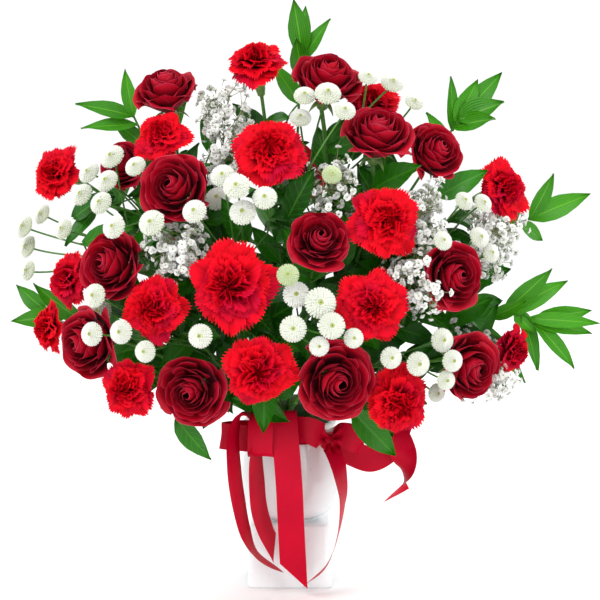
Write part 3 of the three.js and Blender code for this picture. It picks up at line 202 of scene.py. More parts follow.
# Ribbon: name, from, to, cut, held, and marks (across, up, forward, turn, lean).
RIBBON_STRIPS = [
    ("left_tail", LEFT_KNOT, None, 16, "hung",
     [(-30, 154, 60, 72, 0), (-46, 160, 66, 70, 0), (-54, 146, 71, 66, 0), (-54, 109, 74, 60, 0),
      (-50, 77, 70, 60, 0), (-43, 45, 66, 66, 0), (-34, 25, 66, 84, 0), (-13, 8, 68, 92, 0)]),
    ("inner_tail", LEFT_KNOT, None, -20, "hung",
     [(-22, 148, 60, 100, 0), (-31, 146, 65, 88, 0), (-33, 118, 66, 62, 0), (-32, 93, 62, 54, 0),
      (-30, 69, 60, 52, 0), (-24, 48, 58, 54, 0), (-15, 30, 57, 58, 0)]),
    ("front_tail", LEFT_KNOT, None, 26, "hung",
     [(-8, 156, 60, 5, 0), (-7, 165, 70, 5, 0), (-5, 145, 77, 4, 0), (-1, 93, 78, 0, 0), (1, 50, 70, 0, 0),
      (3.5, 2, 66, 0, 0)]),
    ("right_tail", RIGHT_KNOT, None, 14, "hung",
     [(43, 124, 52, 45, 0), (48, 104, 62, 62, 0), (51, 77, 74, 76, 0), (47, 45, 78, 82, 0),
      (36, 14, 82, 84, 0), (16, -6, 84, 80, 0)]),
    ("left_loop", LEFT_KNOT, LEFT_KNOT, 0, "gathered",
     [(-30, 137, 58, 0, 80), (-52, 139, 60, 0, 82), (-67, 141, 54, 0, 84), (-54, 143, 46, 0, 84),
      (-34, 143, 46, 0, 82)]),
    ("inner_loop", LEFT_KNOT, None, 0, "gathered",
     [(-14, 152, 62, -10, 0), (-20, 163, 68, -15, 0), (-27, 158, 77, -20, 0), (-29, 140, 81, -20, 0),
      (-29, 124, 78, -20, 0), (-28, 121, 70, -20, 0), (-27, 138, 65, -20, 0), (-25, 156, 64, -20, 0)]),
    ("bridge", LEFT_KNOT, RIGHT_KNOT, 0, "gathered",
     [(6, 146, 58, 0, 82), (17, 146, 60, 0, 82), (27, 142, 54, 0, 82)]),
    ("right_loop", RIGHT_KNOT, RIGHT_KNOT, 0, "gathered",
     [(50, 141, 52, 0, 70), (62, 137, 57, 0, 68), (72, 135, 50, 0, 68), (62, 139, 42, 0, 70),
      (50, 141, 38, 0, 72)]),
    ("right_bow", RIGHT_KNOT, None, 0, "gathered",
     [(50, 130, 47, 0, 80), (62, 123, 51, 0, 78), (78, 118, 54, 0, 92), (93, 126, 53, 0, 125),
      (101, 140, 52, 0, 145), (106, 153, 52, 0, 155)]),
    ("right_fall", None, None, 18, "hung",
     [(98, 152, 51, 20, 0), (103, 142, 57, 15, 0), (109, 126, 62, 0, 0), (112.5, 110, 64, -50, 0),
      (110.5, 98, 63, -88, 0), (103, 82, 61, -140, 0)]),
]

# ---- directions and curves ----


def unit(v):
    return v / np.linalg.norm(v)


def column(*values):
    """Numbers for the rows of a grid, one for each."""
    return np.array(values)[:, None]


def down(*span):
    """Evenly spaced numbers for the rows of a grid."""
    return np.linspace(*span)[:, None]


def over(*span):
    """Evenly spaced numbers for the columns of a grid."""
    return np.linspace(*span)[None, :]


def circle(count):
    """Evenly spaced angles for the columns of a closed grid."""
    return np.linspace(0, TURN, count, endpoint=False)[None, :]


def seen(mark):
    """The place that a mark across, up and forward has, on the line from the camera through it."""
    across, up, forward = mark
    plane = np.array([across, 0.0, up])
    return EYE + (plane - EYE) * ((forward + EYE[1]) / EYE[1])


def facing(turn, tilt):
    t, r = math.radians(turn), math.radians(tilt)
    return np.array([math.sin(t) * math.cos(r), -math.cos(t) * math.cos(r), math.sin(r)])


def dome_depth(across, up):
    """How far in front of the urn's axis the dome of blooms reaches here."""
    height = DOME["above"] if up > DOME["middle"] else DOME["below"]
    rest = 1 - (across / DOME["half_width"]) ** 2 - ((up - DOME["middle"]) / height) ** 2
    return DOME["depth"] * math.sqrt(max(0, rest))


def draws(seed):
    """Numbers from 0 to 1 that are the same each time."""
    state = (seed * 7919 + 12345) % 2**32
    while True:
        state = (state * 1664525 + 1013904223) % 2**32
        yield state / 2**32


def scatter(draw):
    """A vector with parts drawn from -0.5 to 0.5."""
    return np.array([next(draw), next(draw), next(draw)]) - 0.5


def square_to(axis):
    pole = np.array([0, 1.0, 0]) if abs(axis[2]) > 0.95 else np.array([0, 0, 1.0])
    side = unit(np.cross(pole, axis))
    return side, np.cross(axis, side)


def about(axis, angle):
    """A direction square to `axis`, turned round it by `angle`."""
    side, other = square_to(axis)
    return side * math.cos(angle) + other * math.sin(angle)


def curve_point(points, t):
    points = np.asarray(points, float)
    while len(points) > 1:
        points = points[:-1] * (1 - t) + points[1:] * t
    return points[0]


def curve(points, steps):
    return [curve_point(points, i / steps) for i in range(steps + 1)]


def rotate(v, axis, angle):
    c, s = math.cos(angle), math.sin(angle)
    return v * c + np.cross(axis, v) * s + axis * np.dot(axis, v) * (1 - c)


def spline_point(points, t):
    """A point on the centripetal Catmull-Rom curve through `points`."""
    last = len(points) - 1
    spot = min(int(last * t), last - 1)
    w = last * t - spot
    before = points[spot - 1] if spot > 0 else 2 * points[0] - points[1]
    after = points[spot + 2] if spot + 2 <= last else 2 * points[last] - points[last - 1]
    x0, x1, x2, x3 = before, points[spot], points[spot + 1], after
    d0, d1, d2 = (max(np.linalg.norm(b - a) ** 0.5, 1e-4) for a, b in ((x0, x1), (x1, x2), (x2, x3)))
    t1 = ((x1 - x0) / d0 - (x2 - x0) / (d0 + d1) + (x2 - x1) / d1) * d1
    t2 = ((x2 - x1) / d1 - (x3 - x1) / (d1 + d2) + (x3 - x2) / d2) * d1
    return x1 + t1 * w + (3 * (x2 - x1) - 2 * t1 - t2) * w**2 + (2 * (x1 - x2) + t1 + t2) * w**3


def along(path, step):
    """The points of a path of straight lengths, at most `step` apart."""
    points = []
    for a, b in zip(path, path[1:]):
        count = max(1, math.ceil(np.linalg.norm(b - a) / step))
        points += [a + (b - a) * (k + 1) / count for k in range(count)]
    return np.array(points)


def point_along(path, share):
    lengths = [np.linalg.norm(b - a) for a, b in zip(path, path[1:])]
    rest = share * sum(lengths)
    for a, b, length in zip(path, path[1:], lengths):
        if rest <= length:
            return a + (b - a) * rest / length
        rest -= length
    return path[-1]


# ---- room: what is already there ----

NAMES = "U40"  # room for the longest name
CLEARANCE = 0.9  # what is left between any two pieces
room = {"blooms": [], "places": [np.zeros((0, 3))], "reaches": [np.zeros(0)], "owners": [np.zeros(0, NAMES)]}


def blocks_bloom(bloom, points, margin):
    offset = points - bloom["place"]
    height = offset @ bloom["front"]
    radial = np.sqrt(np.maximum(0, (offset**2).sum(1) - height**2))
    reach = np.where(height > 0, bloom["rise"], bloom["fall"])
    inside = (radial / (bloom["radius"] + margin)) ** 2 + (height / (reach + margin)) ** 2
    return bool((inside < 1).any())


def packed(key):
    if len(room[key]) > 1:
        room[key] = [np.concatenate(room[key])]
    return room[key][0]


def is_clear(points, reach, *ignored):
    """Whether balls round the points touch nothing but what the ignored names own."""
    points = np.atleast_2d(points)
    if points.size == 0:
        return True
    near = reach + CLEARANCE
    for bloom in room["blooms"]:
        if bloom["name"] not in ignored and blocks_bloom(bloom, points, near):
            return False
    middle = points.mean(axis=0)
    limits = packed("reaches") + near + np.sqrt(((points - middle) ** 2).sum(1).max())
    close = np.flatnonzero(((packed("places") - middle) ** 2).sum(1) < limits**2)
    close = close[~np.isin(packed("owners")[close], ignored)]
    places, limits = packed("places")[close], (packed("reaches")[close] + near) ** 2
    apart = ((points[:, None, :] - places[None]) ** 2).sum(2)
    return not (apart < limits).any()


def occupy(points, reach, owner):
    """Keep room for balls of the radius `reach` round the points."""
    points = np.atleast_2d(points)
    room["places"].append(points)
    room["reaches"].append(np.full(len(points), float(reach)))
    room["owners"].append(np.full(len(points), owner, NAMES))


BOWS = [0, 0.12, 0.24, 0.38, 0.55]
BOW_SIDES = 8
PULL = 0.3  # how much of its span a stem keeps to its direction at each end
CHECK_STEP = 5
FREE = {"bloom": 20, "trunk": 16, "button": 9, "limb": 8}  # how far from its start a stem may touch others


def clear_stem(start, leave, end, arrive, lengths, reach, free, owner):
    """A stem from `start` to `end`, bowed by as little as keeps it clear: its corners and its curve."""
    chord = end - start
    span = np.linalg.norm(chord)
    for bow in BOWS:
        for k in range(BOW_SIDES if bow else 1):
            push = about(unit(chord), TURN * k / BOW_SIDES) * bow * span
            bent = [start, start + leave * PULL * span + push, end - arrive * PULL * span + push, end]
            path = curve(bent, lengths)
            samples = along(path, CHECK_STEP)
            open_part = samples[np.linalg.norm(samples - start, axis=1) > free]
            if is_clear(open_part, reach, owner):
                occupy(samples, reach, owner)
                return path, bent
    return [start, end], [start, end]


# ---- what grows where ----


def settle_bloom(kind, number, row):
    across, up, forward, radius, turn, tilt = row
    bloom = {"name": f"{kind}_{number:02d}", "kind": kind, "radius": radius,
             "place": seen((across, up, forward)), "front": facing(turn, tilt),
             "rise": radius * 0.56, "fall": radius * KINDS[kind]["fall"]}
    room["blooms"].append(bloom)
    return bloom


def on_axis(bloom, height):
    return bloom["place"] + bloom["front"] * bloom["radius"] * height


def socket_line(socket):
    direction = facing(*socket)
    inner, outer, beyond = (STEM_FOCUS + direction * SOCKET[k] for k in ("from", "out", "beyond"))
    return direction, inner, outer, beyond


HEART = np.array([0, 40, 230])  # everything grows away from this point
BACK_LEAVES = 60  # in front of this, leaves turn to the front, and behind it a little to the back
STEM_OVERLAP = 4  # a stem starts this far inside its foot
STALK_FREE = 8  # no leaf grows from this many points at a stem's start


def outward(point):
    return unit(point - HEART)


def trunk_path(name, socket, fork, reach):
    direction, inner, outer, _ = socket_line(socket)
    fork = seen(fork)
    path, bent = clear_stem(outer, direction, fork, outward(fork), 3, reach, FREE["trunk"], name)
    return [inner, *path], bent


def leaf_face(root, end):
    reach = unit(end - root)
    out = outward(end) + np.array([0, -1.3 if end[1] < BACK_LEAVES else 0.3, 0.25])
    return unit(out - reach * np.dot(out, reach))


def leaf_at(base, arm, width, kind, face):
    across = unit(np.cross(arm, face))
    middle = base + arm * 0.5 + face * np.linalg.norm(arm) * 0.1
    return {"spine": [base, middle, base + arm], "across": across, "width": width, "kind": kind, "root": None}


def leaf_samples(leaf):
    spine = leaf["spine"]
    steps = math.ceil(np.linalg.norm(spine[0] - spine[2]) / 5)
    half = math.ceil(leaf["width"] / 12)
    middle = curve(spine, steps)[1:]
    points = []
    for i in range(2 * half + 1):
        share = 0.42 * (i - half) / half
        for j, point in enumerate(middle):
            taper = math.sin(math.pi * min(1, (j + 1.4) / (steps + 1)))
            points.append(point + leaf["across"] * share * leaf["width"] * taper)
    return np.array(points)


SWINGS = [0, 14, -14, 28, -28, 44, -44, 62, -62]
LIFTS = [0, 18, -18, 36, -36]


def clear_leaf(base, tip, width, kind, owner, parent):
    """A leaf from `base` towards `tip`, swung aside or lifted by as little as keeps it clear."""
    arm = tip - base
    face = leaf_face(base, tip)
    across = unit(np.cross(arm, face))
    for lift in LIFTS:
        for swing in SWINGS:
            swung = rotate(rotate(arm, face, math.radians(swing)), across, math.radians(lift))
            leaf = leaf_at(base, swung, width, kind, leaf_face(base, base + swung))
            samples = leaf_samples(leaf)
            if is_clear(samples, 1, owner, parent):
                occupy(samples, 1, owner)
                return leaf
    return None


def make_bundle(row, blooms):
    name, socket, carnations, roses = row
    direction, inner, outer, _ = socket_line(socket)
    start = outer - direction * STEM_OVERLAP
    stems = []
    for number in [*carnations, *(n + len(BLOOMS["carnation"]) for n in roses)]:
        bloom = blooms[number - 1]
        kind = KINDS[bloom["kind"]]
        end = bloom["place"] + bloom["front"] * (bloom["radius"] * kind["base"] - kind["calyx"])
        leave = unit(unit(end - start) + direction)
        path, bent = clear_stem(start, leave, end, bloom["front"], 2, kind["stem"], FREE["bloom"],
                                bloom["name"])
        stems.append({"bloom": bloom, "path": path, "bent": bent})
    return {"name": name, "foot": [inner, outer], "stems": stems, "leaves": []}


def stalk_root(bundle, base, tip):
    """Where on the stems a leaf's stalk starts: near its base, and behind it."""
    reach = unit(tip - base)
    best = None
    for stem in bundle["stems"]:
        for root in along(stem["path"], FINE_STEP)[STALK_FREE:]:
            stalk = base - root
            cost = np.linalg.norm(stalk) * 1.5 - np.dot(stalk, reach)
            if best is None or cost < best[0]:
                best = (cost, root, stem["bloom"]["name"])
    return best[1], best[2]


def add_broad_leaves(bundle):
    for i, (base, tip, width) in enumerate(BROAD_LEAVES[bundle["name"]]):
        base, tip = seen(base), seen(tip)
        label = f"{bundle['name']} leaf {i + 1}"
        root, parent = stalk_root(bundle, base, tip)
        leaf = clear_leaf(base, tip, width, "broad", label, parent)
        if leaf:
            occupy(along([root, base], CHECK_STEP), 0.9, label)
            bundle["leaves"].append(dict(leaf, root=root))


def add_stem_leaves(bundle, draw):
    for stem in bundle["stems"][::2]:
        root = point_along(stem["path"], 0.6 + 0.25 * next(draw))
        out = outward(root)
        tip = root + out * 26 + about(out, TURN * next(draw)) * 34
        name = stem["bloom"]["name"]
        leaf = clear_leaf(root, tip, 20 + 8 * next(draw), "stem", f"{name} leaf", name)
        if leaf:
            bundle["leaves"].append(leaf)


FROND_STRAIGHT = 40
FROND_RADIUS = 1.5
FROND_STEPS = 8
SMOOTH_FROND = 40
FINE_STEP = 2


def make_frond(row):
    name, socket, path, leaves = row
    direction, inner, outer, _ = socket_line(socket)
    marks = [outer, outer + direction * FROND_STRAIGHT, *(seen(p) for p in path)]
    path = [inner, *(spline_point(marks, i / FROND_STEPS) for i in range(FROND_STEPS + 1))]
    fine = along(path, FINE_STEP)[:-2]
    occupy(along(path, CHECK_STEP), FROND_RADIUS, name)
    made = []
    for base, tip, width in leaves:
        root = fine[np.linalg.norm(fine - seen(base), axis=1).argmin()]
        leaf = clear_leaf(root, seen(tip), width, "ruscus", name, name)
        if leaf:
            made.append(leaf)
    smooth = [inner, *(spline_point(marks, i / SMOOTH_FROND) for i in range(SMOOTH_FROND + 1))]
    return {"name": name, "path": smooth, "leaves": made}


HEAD_OUTWARD = 0.35  # the least that a head faces away from where its stalk starts
DEPTH_TRIES = [8, 15, 0, 22, -8, -16, 30, -25, -34, 38, -44, -54, -66, -80]


def place_button(across, up, radius, label):
    for extra in DEPTH_TRIES:
        place = seen((across, up, dome_depth(across, up) + extra))
        if is_clear(place, radius, label):
            occupy(place, radius * 0.9, label)
            front = unit(outward(place) + np.array([0, -0.5, 0.1]))
            return {"name": label, "place": place, "front": front, "radius": radius}
    return None


def turn_head(head, start):
    away = unit(head["place"] - start)
    while np.dot(head["front"], away) < HEAD_OUTWARD:
        head["front"] = unit(head["front"] + away * 0.2)


def make_button_spray(row):
    name, socket, fork, heads = row
    trunk, bent = trunk_path(name, socket, fork, BUTTON["stem"])
    placed = [place_button(*head, f"{name} head {i + 1}") for i, head in enumerate(heads)]
    stalks = []
    for i, head in enumerate(placed):
        if not head:
            continue
        start = point_along(trunk, 0.62 + 0.38 * (i + 0.5) / len(heads))
        turn_head(head, start)
        end = on_axis(head, BUTTON["base"])
        _, stalk = clear_stem(start, unit(end - start), end, head["front"], 2, BUTTON["pedicel"],
                              FREE["button"], head["name"])
        stalks.append((head, stalk))
    return {"name": name, "trunk": trunk, "bent": bent, "stalks": stalks}


FLORET_TRIES = 20
TWIG_FREE = 5
TWIG_LEAST = 9
UNUSED_DRAWS = 4  # the model turns its coarser floret with these


def place_floret(middle, reach, root, label, draw):
    """The ends of a twig whose floret has room in its cloud, if one is found."""
    for _ in range(FLORET_TRIES):
        offset = scatter(draw) * 2 * reach
        place = middle + offset
        if np.linalg.norm(offset) > reach or np.linalg.norm(place - root) < TWIG_LEAST:
            continue
        twig = along([root, place], CHECK_STEP)
        open_part = twig[np.linalg.norm(twig - root, axis=1) > TWIG_FREE]
        if is_clear(place, BREATH["floret"]) and is_clear(open_part, BREATH["twig"]):
            occupy(place, BREATH["floret"], label)
            occupy(twig, BREATH["twig"], label)
            for _ in range(UNUSED_DRAWS):
                next(draw)
            return root, place
    return None


def make_breath_spray(row, draw):
    name, socket, fork, clouds = row
    trunk, bent = trunk_path(name, socket, fork, BREATH["stem"])
    limbs, twigs = [], []
    for i, (across, up, forward, reach, count) in enumerate(clouds):
        middle = seen((across, up, forward))
        start = point_along(trunk, 0.7 + 0.3 * (i + 1) / len(clouds))
        label = f"{name} limb {i + 1}"
        limb, line = clear_stem(start, unit(middle - start), middle, outward(middle), 2, BREATH["limb"],
                                FREE["limb"], label)
        limbs.append((limb, line))
        for k in range(count):
            root = point_along(limb, 0.5 + 0.5 * (k + 1) / count)
            twig = place_floret(middle, reach, root, f"{label} floret {k + 1}", draw)
            if twig:
                twigs.append(twig)
    return {"name": name, "trunk": trunk, "bent": bent, "limbs": limbs, "twigs": twigs}


def plant_everything():
    blooms = [settle_bloom(kind, i + 1, row) for kind, rows in BLOOMS.items() for i, row in enumerate(rows)]
    for name, socket, *_ in [*BUNDLES, *BUTTON_SPRAYS, *BREATH_SPRAYS, *FRONDS]:
        _, _, outer, beyond = socket_line(socket)
        occupy(along([outer, beyond], CHECK_STEP), FOOT_RADIUS, name)
    bundles = [make_bundle(row, blooms) for row in BUNDLES]
    fronds = [make_frond(row) for row in FRONDS]
    for bundle in bundles:
        add_broad_leaves(bundle)
    buttons = [make_button_spray(row) for row in BUTTON_SPRAYS]
    breath = [make_breath_spray(row, draws(i + 201)) for i, row in enumerate(BREATH_SPRAYS)]
    for i, bundle in enumerate(bundles):
        add_stem_leaves(bundle, draws(i + 301))
    return blooms, bundles, fronds, buttons, breath


# ---- pieces ----


def link(name, data):
    thing = bpy.data.objects.new(name, data)
    bpy.context.scene.collection.objects.link(thing)
    return thing


class Piece:
    """A mesh piece made of grids and tubes, with numbers on its points that its materials use."""

    def __init__(self, name, slot):
        self.name, self.slot = name, slot
        self.points, self.faces, self.kinds = [], [], []
        self.numbers = {"along": [], "across": [], "tone": []}
        self.materials, self.count = [], 0

    def grid(self, points, material, along=None, across=None, tone=0.5, closed=False):
        """A grid of points, rows by columns; `closed` joins its last column to its first."""
        rows, columns = points.shape[:2]
        index = np.arange(rows * columns).reshape(rows, columns) + self.count
        if closed:
            index = np.concatenate([index, index[:, :1]], axis=1)
        quads = np.stack([index[:-1, :-1], index[:-1, 1:], index[1:, 1:], index[1:, :-1]], axis=-1)
        if material not in self.materials:
            self.materials.append(material)
        self.points.append(points.reshape(-1, 3))
        self.faces.append(quads.reshape(-1, 4))
        self.kinds.append(np.full(quads.size // 4, self.materials.index(material)))
        along = down(0, 1, rows) if along is None else along
        across = over(0, 1, columns) if across is None else across
        for store, values in zip(self.numbers.values(), (along, across, tone)):
            store.append(np.broadcast_to(values, (rows, columns)).ravel())
        self.count += rows * columns

    def fan(self, bloom, angles, radial, height, material, **numbers):
        """A grid round a bloom's axis, from angles, and distances from the axis and along it in radii."""
        angles, radial, height = (x[..., None] for x in np.broadcast_arrays(angles, radial, height))
        side, other = square_to(bloom["front"])
        flat = np.cos(angles) * side + np.sin(angles) * other
        points = bloom["place"] + bloom["radius"] * (radial * flat + height * bloom["front"])
        self.grid(points, material, **numbers)

    def tube(self, path, radii, sides, material, tone=0.5):
        """A round tube along a path, closed by a point at each end."""
        path = np.asarray(path, float)
        radii = np.interp(np.linspace(0, 1, len(path)), np.linspace(0, 1, len(radii)), radii)
        side = square_to(unit(path[1] - path[0]))[0]
        angles = circle(sides)[0]
        rings = []
        for i, point in enumerate(path):
            reach = unit(path[min(i + 1, len(path) - 1)] - path[max(i - 1, 0)])
            side = unit(side - reach * np.dot(side, reach))
            other = np.cross(reach, side)
            flat = np.outer(np.cos(angles), side) + np.outer(np.sin(angles), other)
            rings.append(point + radii[i] * flat)
        ends = [np.tile(point, (sides, 1)) for point in (path[0], path[-1])]
        self.grid(np.array([ends[0], *rings, ends[1]]), material, tone=tone, closed=True)

    def build(self, *nodes):
        mesh = bpy.data.meshes.new(self.name)
        mesh.from_pydata(np.concatenate(self.points) * MM, [], np.concatenate(self.faces).tolist())
        for name, store in self.numbers.items():
            data = mesh.attributes.new(name, "FLOAT", "POINT").data
            data.foreach_set("value", np.concatenate(store).astype(np.float32))
        for material in self.materials:
            mesh.materials.append(MATERIALS[material])
        mesh.polygons.foreach_set("material_index", np.concatenate(self.kinds).astype(np.int32))
        mesh.shade_smooth()
        mesh.validate()
        piece = link(self.name, mesh)
        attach(piece, "root")
        if nodes:
            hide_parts(*nodes)
        return piece


def bend(start, middle, end, v):
    return (1 - v) ** 2 * start + 2 * v * (1 - v) * middle + v * v * end


# Layers of a carnation from the outermost: petals, where their edge lies (distance from the axis, height),
# how high they rise before they bend out, their half width, and the depth and number of their folds.
CARNATION_LAYERS = [
    (6, 0.99, -0.14, 0.10, 0.56, 0.045, 1.6), (6, 0.91, 0.04, 0.26, 0.50, 0.05, 1.8),
    (6, 0.78, 0.20, 0.36, 0.46, 0.06, 2.0), (5, 0.60, 0.34, 0.44, 0.44, 0.09, 2.2),
    (5, 0.44, 0.42, 0.46, 0.40, 0.13, 2.2), (5, 0.28, 0.47, 0.46, 0.34, 0.15, 2.4),
    (4, 0.15, 0.48, 0.40, 0.26, 0.12, 2.6),
]
PETAL_TEETH = 15
PETAL_RIDGES = 9
PETAL_ROWS = column(0, 0.2, 0.38, 0.54, 0.68, 0.80, 0.90, 0.965, 1.0)


def carnation_petal(piece, bloom, layer, azimuth, draw):
    """One petal that bends out from the cup, with a saw-toothed edge, folds and fine ridges."""
    _, reach, rise, lift, half, crimp, folds = layer
    columns = 2 * PETAL_TEETH + 1
    u = over(-1, 1, columns)
    v = PETAL_ROWS
    size = 0.78 + 0.26 * next(draw)
    lobe = 0.10 * np.sin(2.6 * u + PHASE * next(draw)) * reach
    rounding = 1 - 0.20 * np.abs(u) ** 2.6
    depths = np.array([0.035 + 0.07 * next(draw) for _ in range(columns)])
    teeth = np.where(np.arange(columns) % 2 == 1, 0.0, depths) * np.clip((v - 0.9) / 0.1, 0, 1)
    w = v * rounding - teeth
    droop = 0.32 * (next(draw) - 0.5)
    radial = bend(0.04, 0.36 * reach, reach * size + lobe, w)
    height = bend(-0.44, lift, rise + droop * (0.35 + 0.5 * reach), w)
    width = half * (0.92 + 0.2 * next(draw)) * (0.10 + 0.90 * v ** 1.25)
    angles = azimuth + u * width / np.maximum(radial, 0.16 + 0.1 * (1 - reach))
    phase = PHASE * next(draw)
    ripple = np.sin(folds * math.pi * u + phase) + 0.45 * np.sin(2.1 * folds * math.pi * u + 2 * phase)
    ridges = np.cos(PETAL_RIDGES * math.pi * u + phase)
    fold = crimp * v ** 1.4 * ripple + 0.010 * v * ridges
    upright = 1 - 0.75 * reach
    height = height + fold * (0.35 + 0.65 * reach)
    # The along number is lowered on the inner layers so that they come out darker, as painted shade deep in
    # the bloom; the across number follows the folds and ridges, for the painted shade in their troughs.
    piece.fan(bloom, angles, radial - upright * fold, height, "carnation_petal", tone=next(draw),
              along=v * (0.6 + 0.4 * reach ** 0.5), across=ripple * 0.22 + ridges * 0.12 + 0.5)


# Layers of a rose from the outermost: petals, where their edge lies (distance from the axis, height),
# their half width as an angle, how pointed and how rolled back they are, and how far they wind inward.
ROSE_LAYERS = [
    (4, 0.99, -0.06, 0.98, 0.24, 0.16, 0.05), (4, 0.88, 0.10, 0.96, 0.22, 0.14, 0.06),
    (4, 0.72, 0.22, 1.00, 0.18, 0.10, 0.07), (4, 0.56, 0.32, 1.05, 0.14, 0.07, 0.08),
    (4, 0.42, 0.38, 1.15, 0.10, 0.04, 0.08), (3, 0.30, 0.42, 1.45, 0.06, 0.02, 0.08),
    (3, 0.20, 0.44, 1.60, 0.04, 0.01, 0.07), (2, 0.11, 0.45, 2.2, 0.02, 0.0, 0.05),
]
ROSE_ROWS = column(0, 0.2, 0.4, 0.57, 0.70, 0.80, 0.88, 0.94, 0.98, 1.0)


def rose_petal(piece, bloom, layer, azimuth, draw):
    """One cupped petal, which rolls back at each side of its tip and winds in under the one before it."""
    _, reach, rise, half, point, rolled, wind = layer
    u = over(-1, 1, 21)
    v = ROSE_ROWS
    size = 0.89 + 0.14 * next(draw)
    aside = 0.7 * (next(draw) - 0.5)
    half = half * (0.88 + 0.26 * next(draw))
    rolled = rolled * (0.5 + next(draw))
    rounding = 1 - point * np.abs(u - aside * (1 - np.abs(u))) ** 1.25 - 0.16 * np.abs(u) ** 5
    w = v * rounding
    heart = (1 - reach) ** 2
    radial = bend(0.08 + 0.14 * reach, max(0.30 + 0.52 * reach, 1.02 * reach), reach * size, w)
    height = bend(-0.92 + 0.40 * heart, -0.34 + 0.50 * heart, rise + 0.13 * (next(draw) - 0.5), w)
    shoulder = 0.35 + 0.65 * np.abs(u) ** 0.8
    roll = np.clip((v - 0.72) / 0.28, 0, 1) ** 1.6 * shoulder
    height = height - rolled * (0.2 + 0.75 * roll) * roll
    angles = azimuth + u * half * (0.30 + 0.70 * np.sin(math.pi * 0.5 * np.minimum(1, 1.3 * v)))
    buckle = 0.02 * np.sin(2.6 * math.pi * u + PHASE * next(draw)) * v ** 3 * (1 - heart)
    radial = np.maximum(0.012, radial + rolled * roll + wind * u * (0.3 + 0.7 * v) + buckle)
    piece.fan(bloom, angles, radial, height, "rose_petal", along=v, across=heart, tone=next(draw))


PETALS = {  # the layers, the rule for a petal, and how far each layer and each petal is turned aside
    "carnation": (CARNATION_LAYERS, carnation_petal, 0.37, 0.5),
    "rose": (ROSE_LAYERS, rose_petal, 0.42, 0.4),
}


def make_bloom(bloom, draw):
    layers, add_petal, twist, aside = PETALS[bloom["kind"]]
    piece = Piece(bloom["name"] + "_petals", bloom["kind"] + "_petals")
    for k, layer in enumerate(layers):
        for i in range(layer[0]):
            azimuth = TURN * (i + twist * k + aside * (next(draw) - 0.5)) / layer[0]
            add_petal(piece, bloom, layer, azimuth, draw)
    piece.build(bloom["name"])


# ---- stems and leaves ----


LINE_STEPS = 14
STEM_SIDES = 9


def smooth_line(path, bent):
    """A line half way between the corners' straight lengths and the curve that they lie on."""
    corners = np.array(path)
    parts = len(corners) - 1
    line = []
    for i in range(LINE_STEPS + 1):
        t = i / LINE_STEPS
        spot = min(int(t * parts), parts - 1)
        flat = corners[spot] + (corners[spot + 1] - corners[spot]) * (t * parts - spot)
        line.append(flat * 0.5 + curve_point(bent, t) * 0.5)
    return np.array(line)


def smooth_trunk(spray):
    return [spray["trunk"][0], *smooth_line(spray["trunk"][1:], spray["bent"])]


LEAF_SHAPES = {  # how far along the blade, and its share of the full half width
    "ruscus": ([0, 0.06, 0.2, 0.38, 0.55, 0.75, 0.9, 1], [0.1, 0.35, 0.82, 1.0, 0.95, 0.62, 0.26, 0.01]),
    "broad": ([0, 0.05, 0.18, 0.36, 0.55, 0.75, 0.9, 1], [0.08, 0.35, 0.82, 1.0, 0.98, 0.68, 0.3, 0.01]),
    "stem": ([0, 0.06, 0.2, 0.38, 0.55, 0.75, 0.9, 1], [0.08, 0.32, 0.78, 1.0, 0.94, 0.62, 0.26, 0.01]),
}
LEAF_ROWS = 17
LEAF_COLUMNS = 9
LEAF_NEAR = 0.02  # a leaf's direction is taken this far to either side


def make_leaf(piece, leaf, draw):
    """A blade with an upper and a lower face that meet at its edge, folded a little at its midrib."""
    spine, width = leaf["spine"], leaf["width"]
    stations, shares = LEAF_SHAPES[leaf["kind"]]
    u = np.linspace(-1, 1, LEAF_COLUMNS)
    tone = next(draw)
    wave, phase = (0.02 + 0.05 * next(draw)) * width, PHASE * next(draw)
    faces = ([], [])
    for t in np.linspace(0, 1, LEAF_ROWS):
        reach = unit(curve_point(spine, t + LEAF_NEAR) - curve_point(spine, t - LEAF_NEAR))
        side = unit(leaf["across"] - reach * np.dot(leaf["across"], reach))
        face = np.cross(side, reach)
        half = 0.5 * width * np.interp(t, stations, shares)
        lift = width * 0.16 * np.abs(u) ** 1.4 + wave * np.sin(7 * t + phase) * u
        row = curve_point(spine, t) + np.outer(u * half, side) + np.outer(lift, face)
        thick = (0.45 * (1 - u**2) + 0.02)[:, None] * face
        faces[0].append(row + thick)
        faces[1].append(row - thick)
    kinds = ("ruscus_top", "ruscus_under") if leaf["kind"] == "ruscus" else ("leaf_top", "leaf_under")
    for rows, kind in zip(faces, kinds):
        piece.grid(np.array(rows), kind, across=np.abs(u), tone=tone)
    if leaf["root"] is not None:
        piece.tube([leaf["root"], spine[0], curve_point(spine, 0.12)], [0.9, 0.8, 0.4], 6, "stem", tone)


RIM_WAVE = 1.6
SEPALS = 5


def sepal_cup(piece, bloom):
    """The green cup under a bloom: a long tube under a carnation, five curled sepals under a rose."""
    kind = KINDS[bloom["kind"]]
    is_rose = bloom["kind"] == "rose"
    cup = dict(bloom, radius=1.0, place=bloom["place"] + bloom["front"] * (bloom["radius"] * kind["base"]))
    rings = [*((-share * kind["calyx"], radius) for share, radius in kind["cup"]), kind["rim"]]
    u = circle(16)
    heights = column(*(height for height, _ in rings)) + 0 * u
    if not is_rose:
        heights[-1] += RIM_WAVE * np.cos(SEPALS * u[0])
    piece.fan(cup, u, column(*(radius for _, radius in rings)), heights, "sepal", closed=True)
    for k in range(SEPALS if is_rose else 0):
        rose_sepal(piece, cup, TURN * k / SEPALS, bloom["radius"])


def rose_sepal(piece, cup, azimuth, radius):
    v = down(0, 1, 8)
    u = over(-1, 1, 5)
    half = 3.4 * (1 - v) ** 0.8 + 0.15
    radial = 6.2 + radius * 0.42 * v
    height = 0.5 + 4.0 * v - 9 * v**2 + 0.9 * u**2
    piece.fan(cup, azimuth + u * half / radial, radial, height, "sepal", tone=0.7)


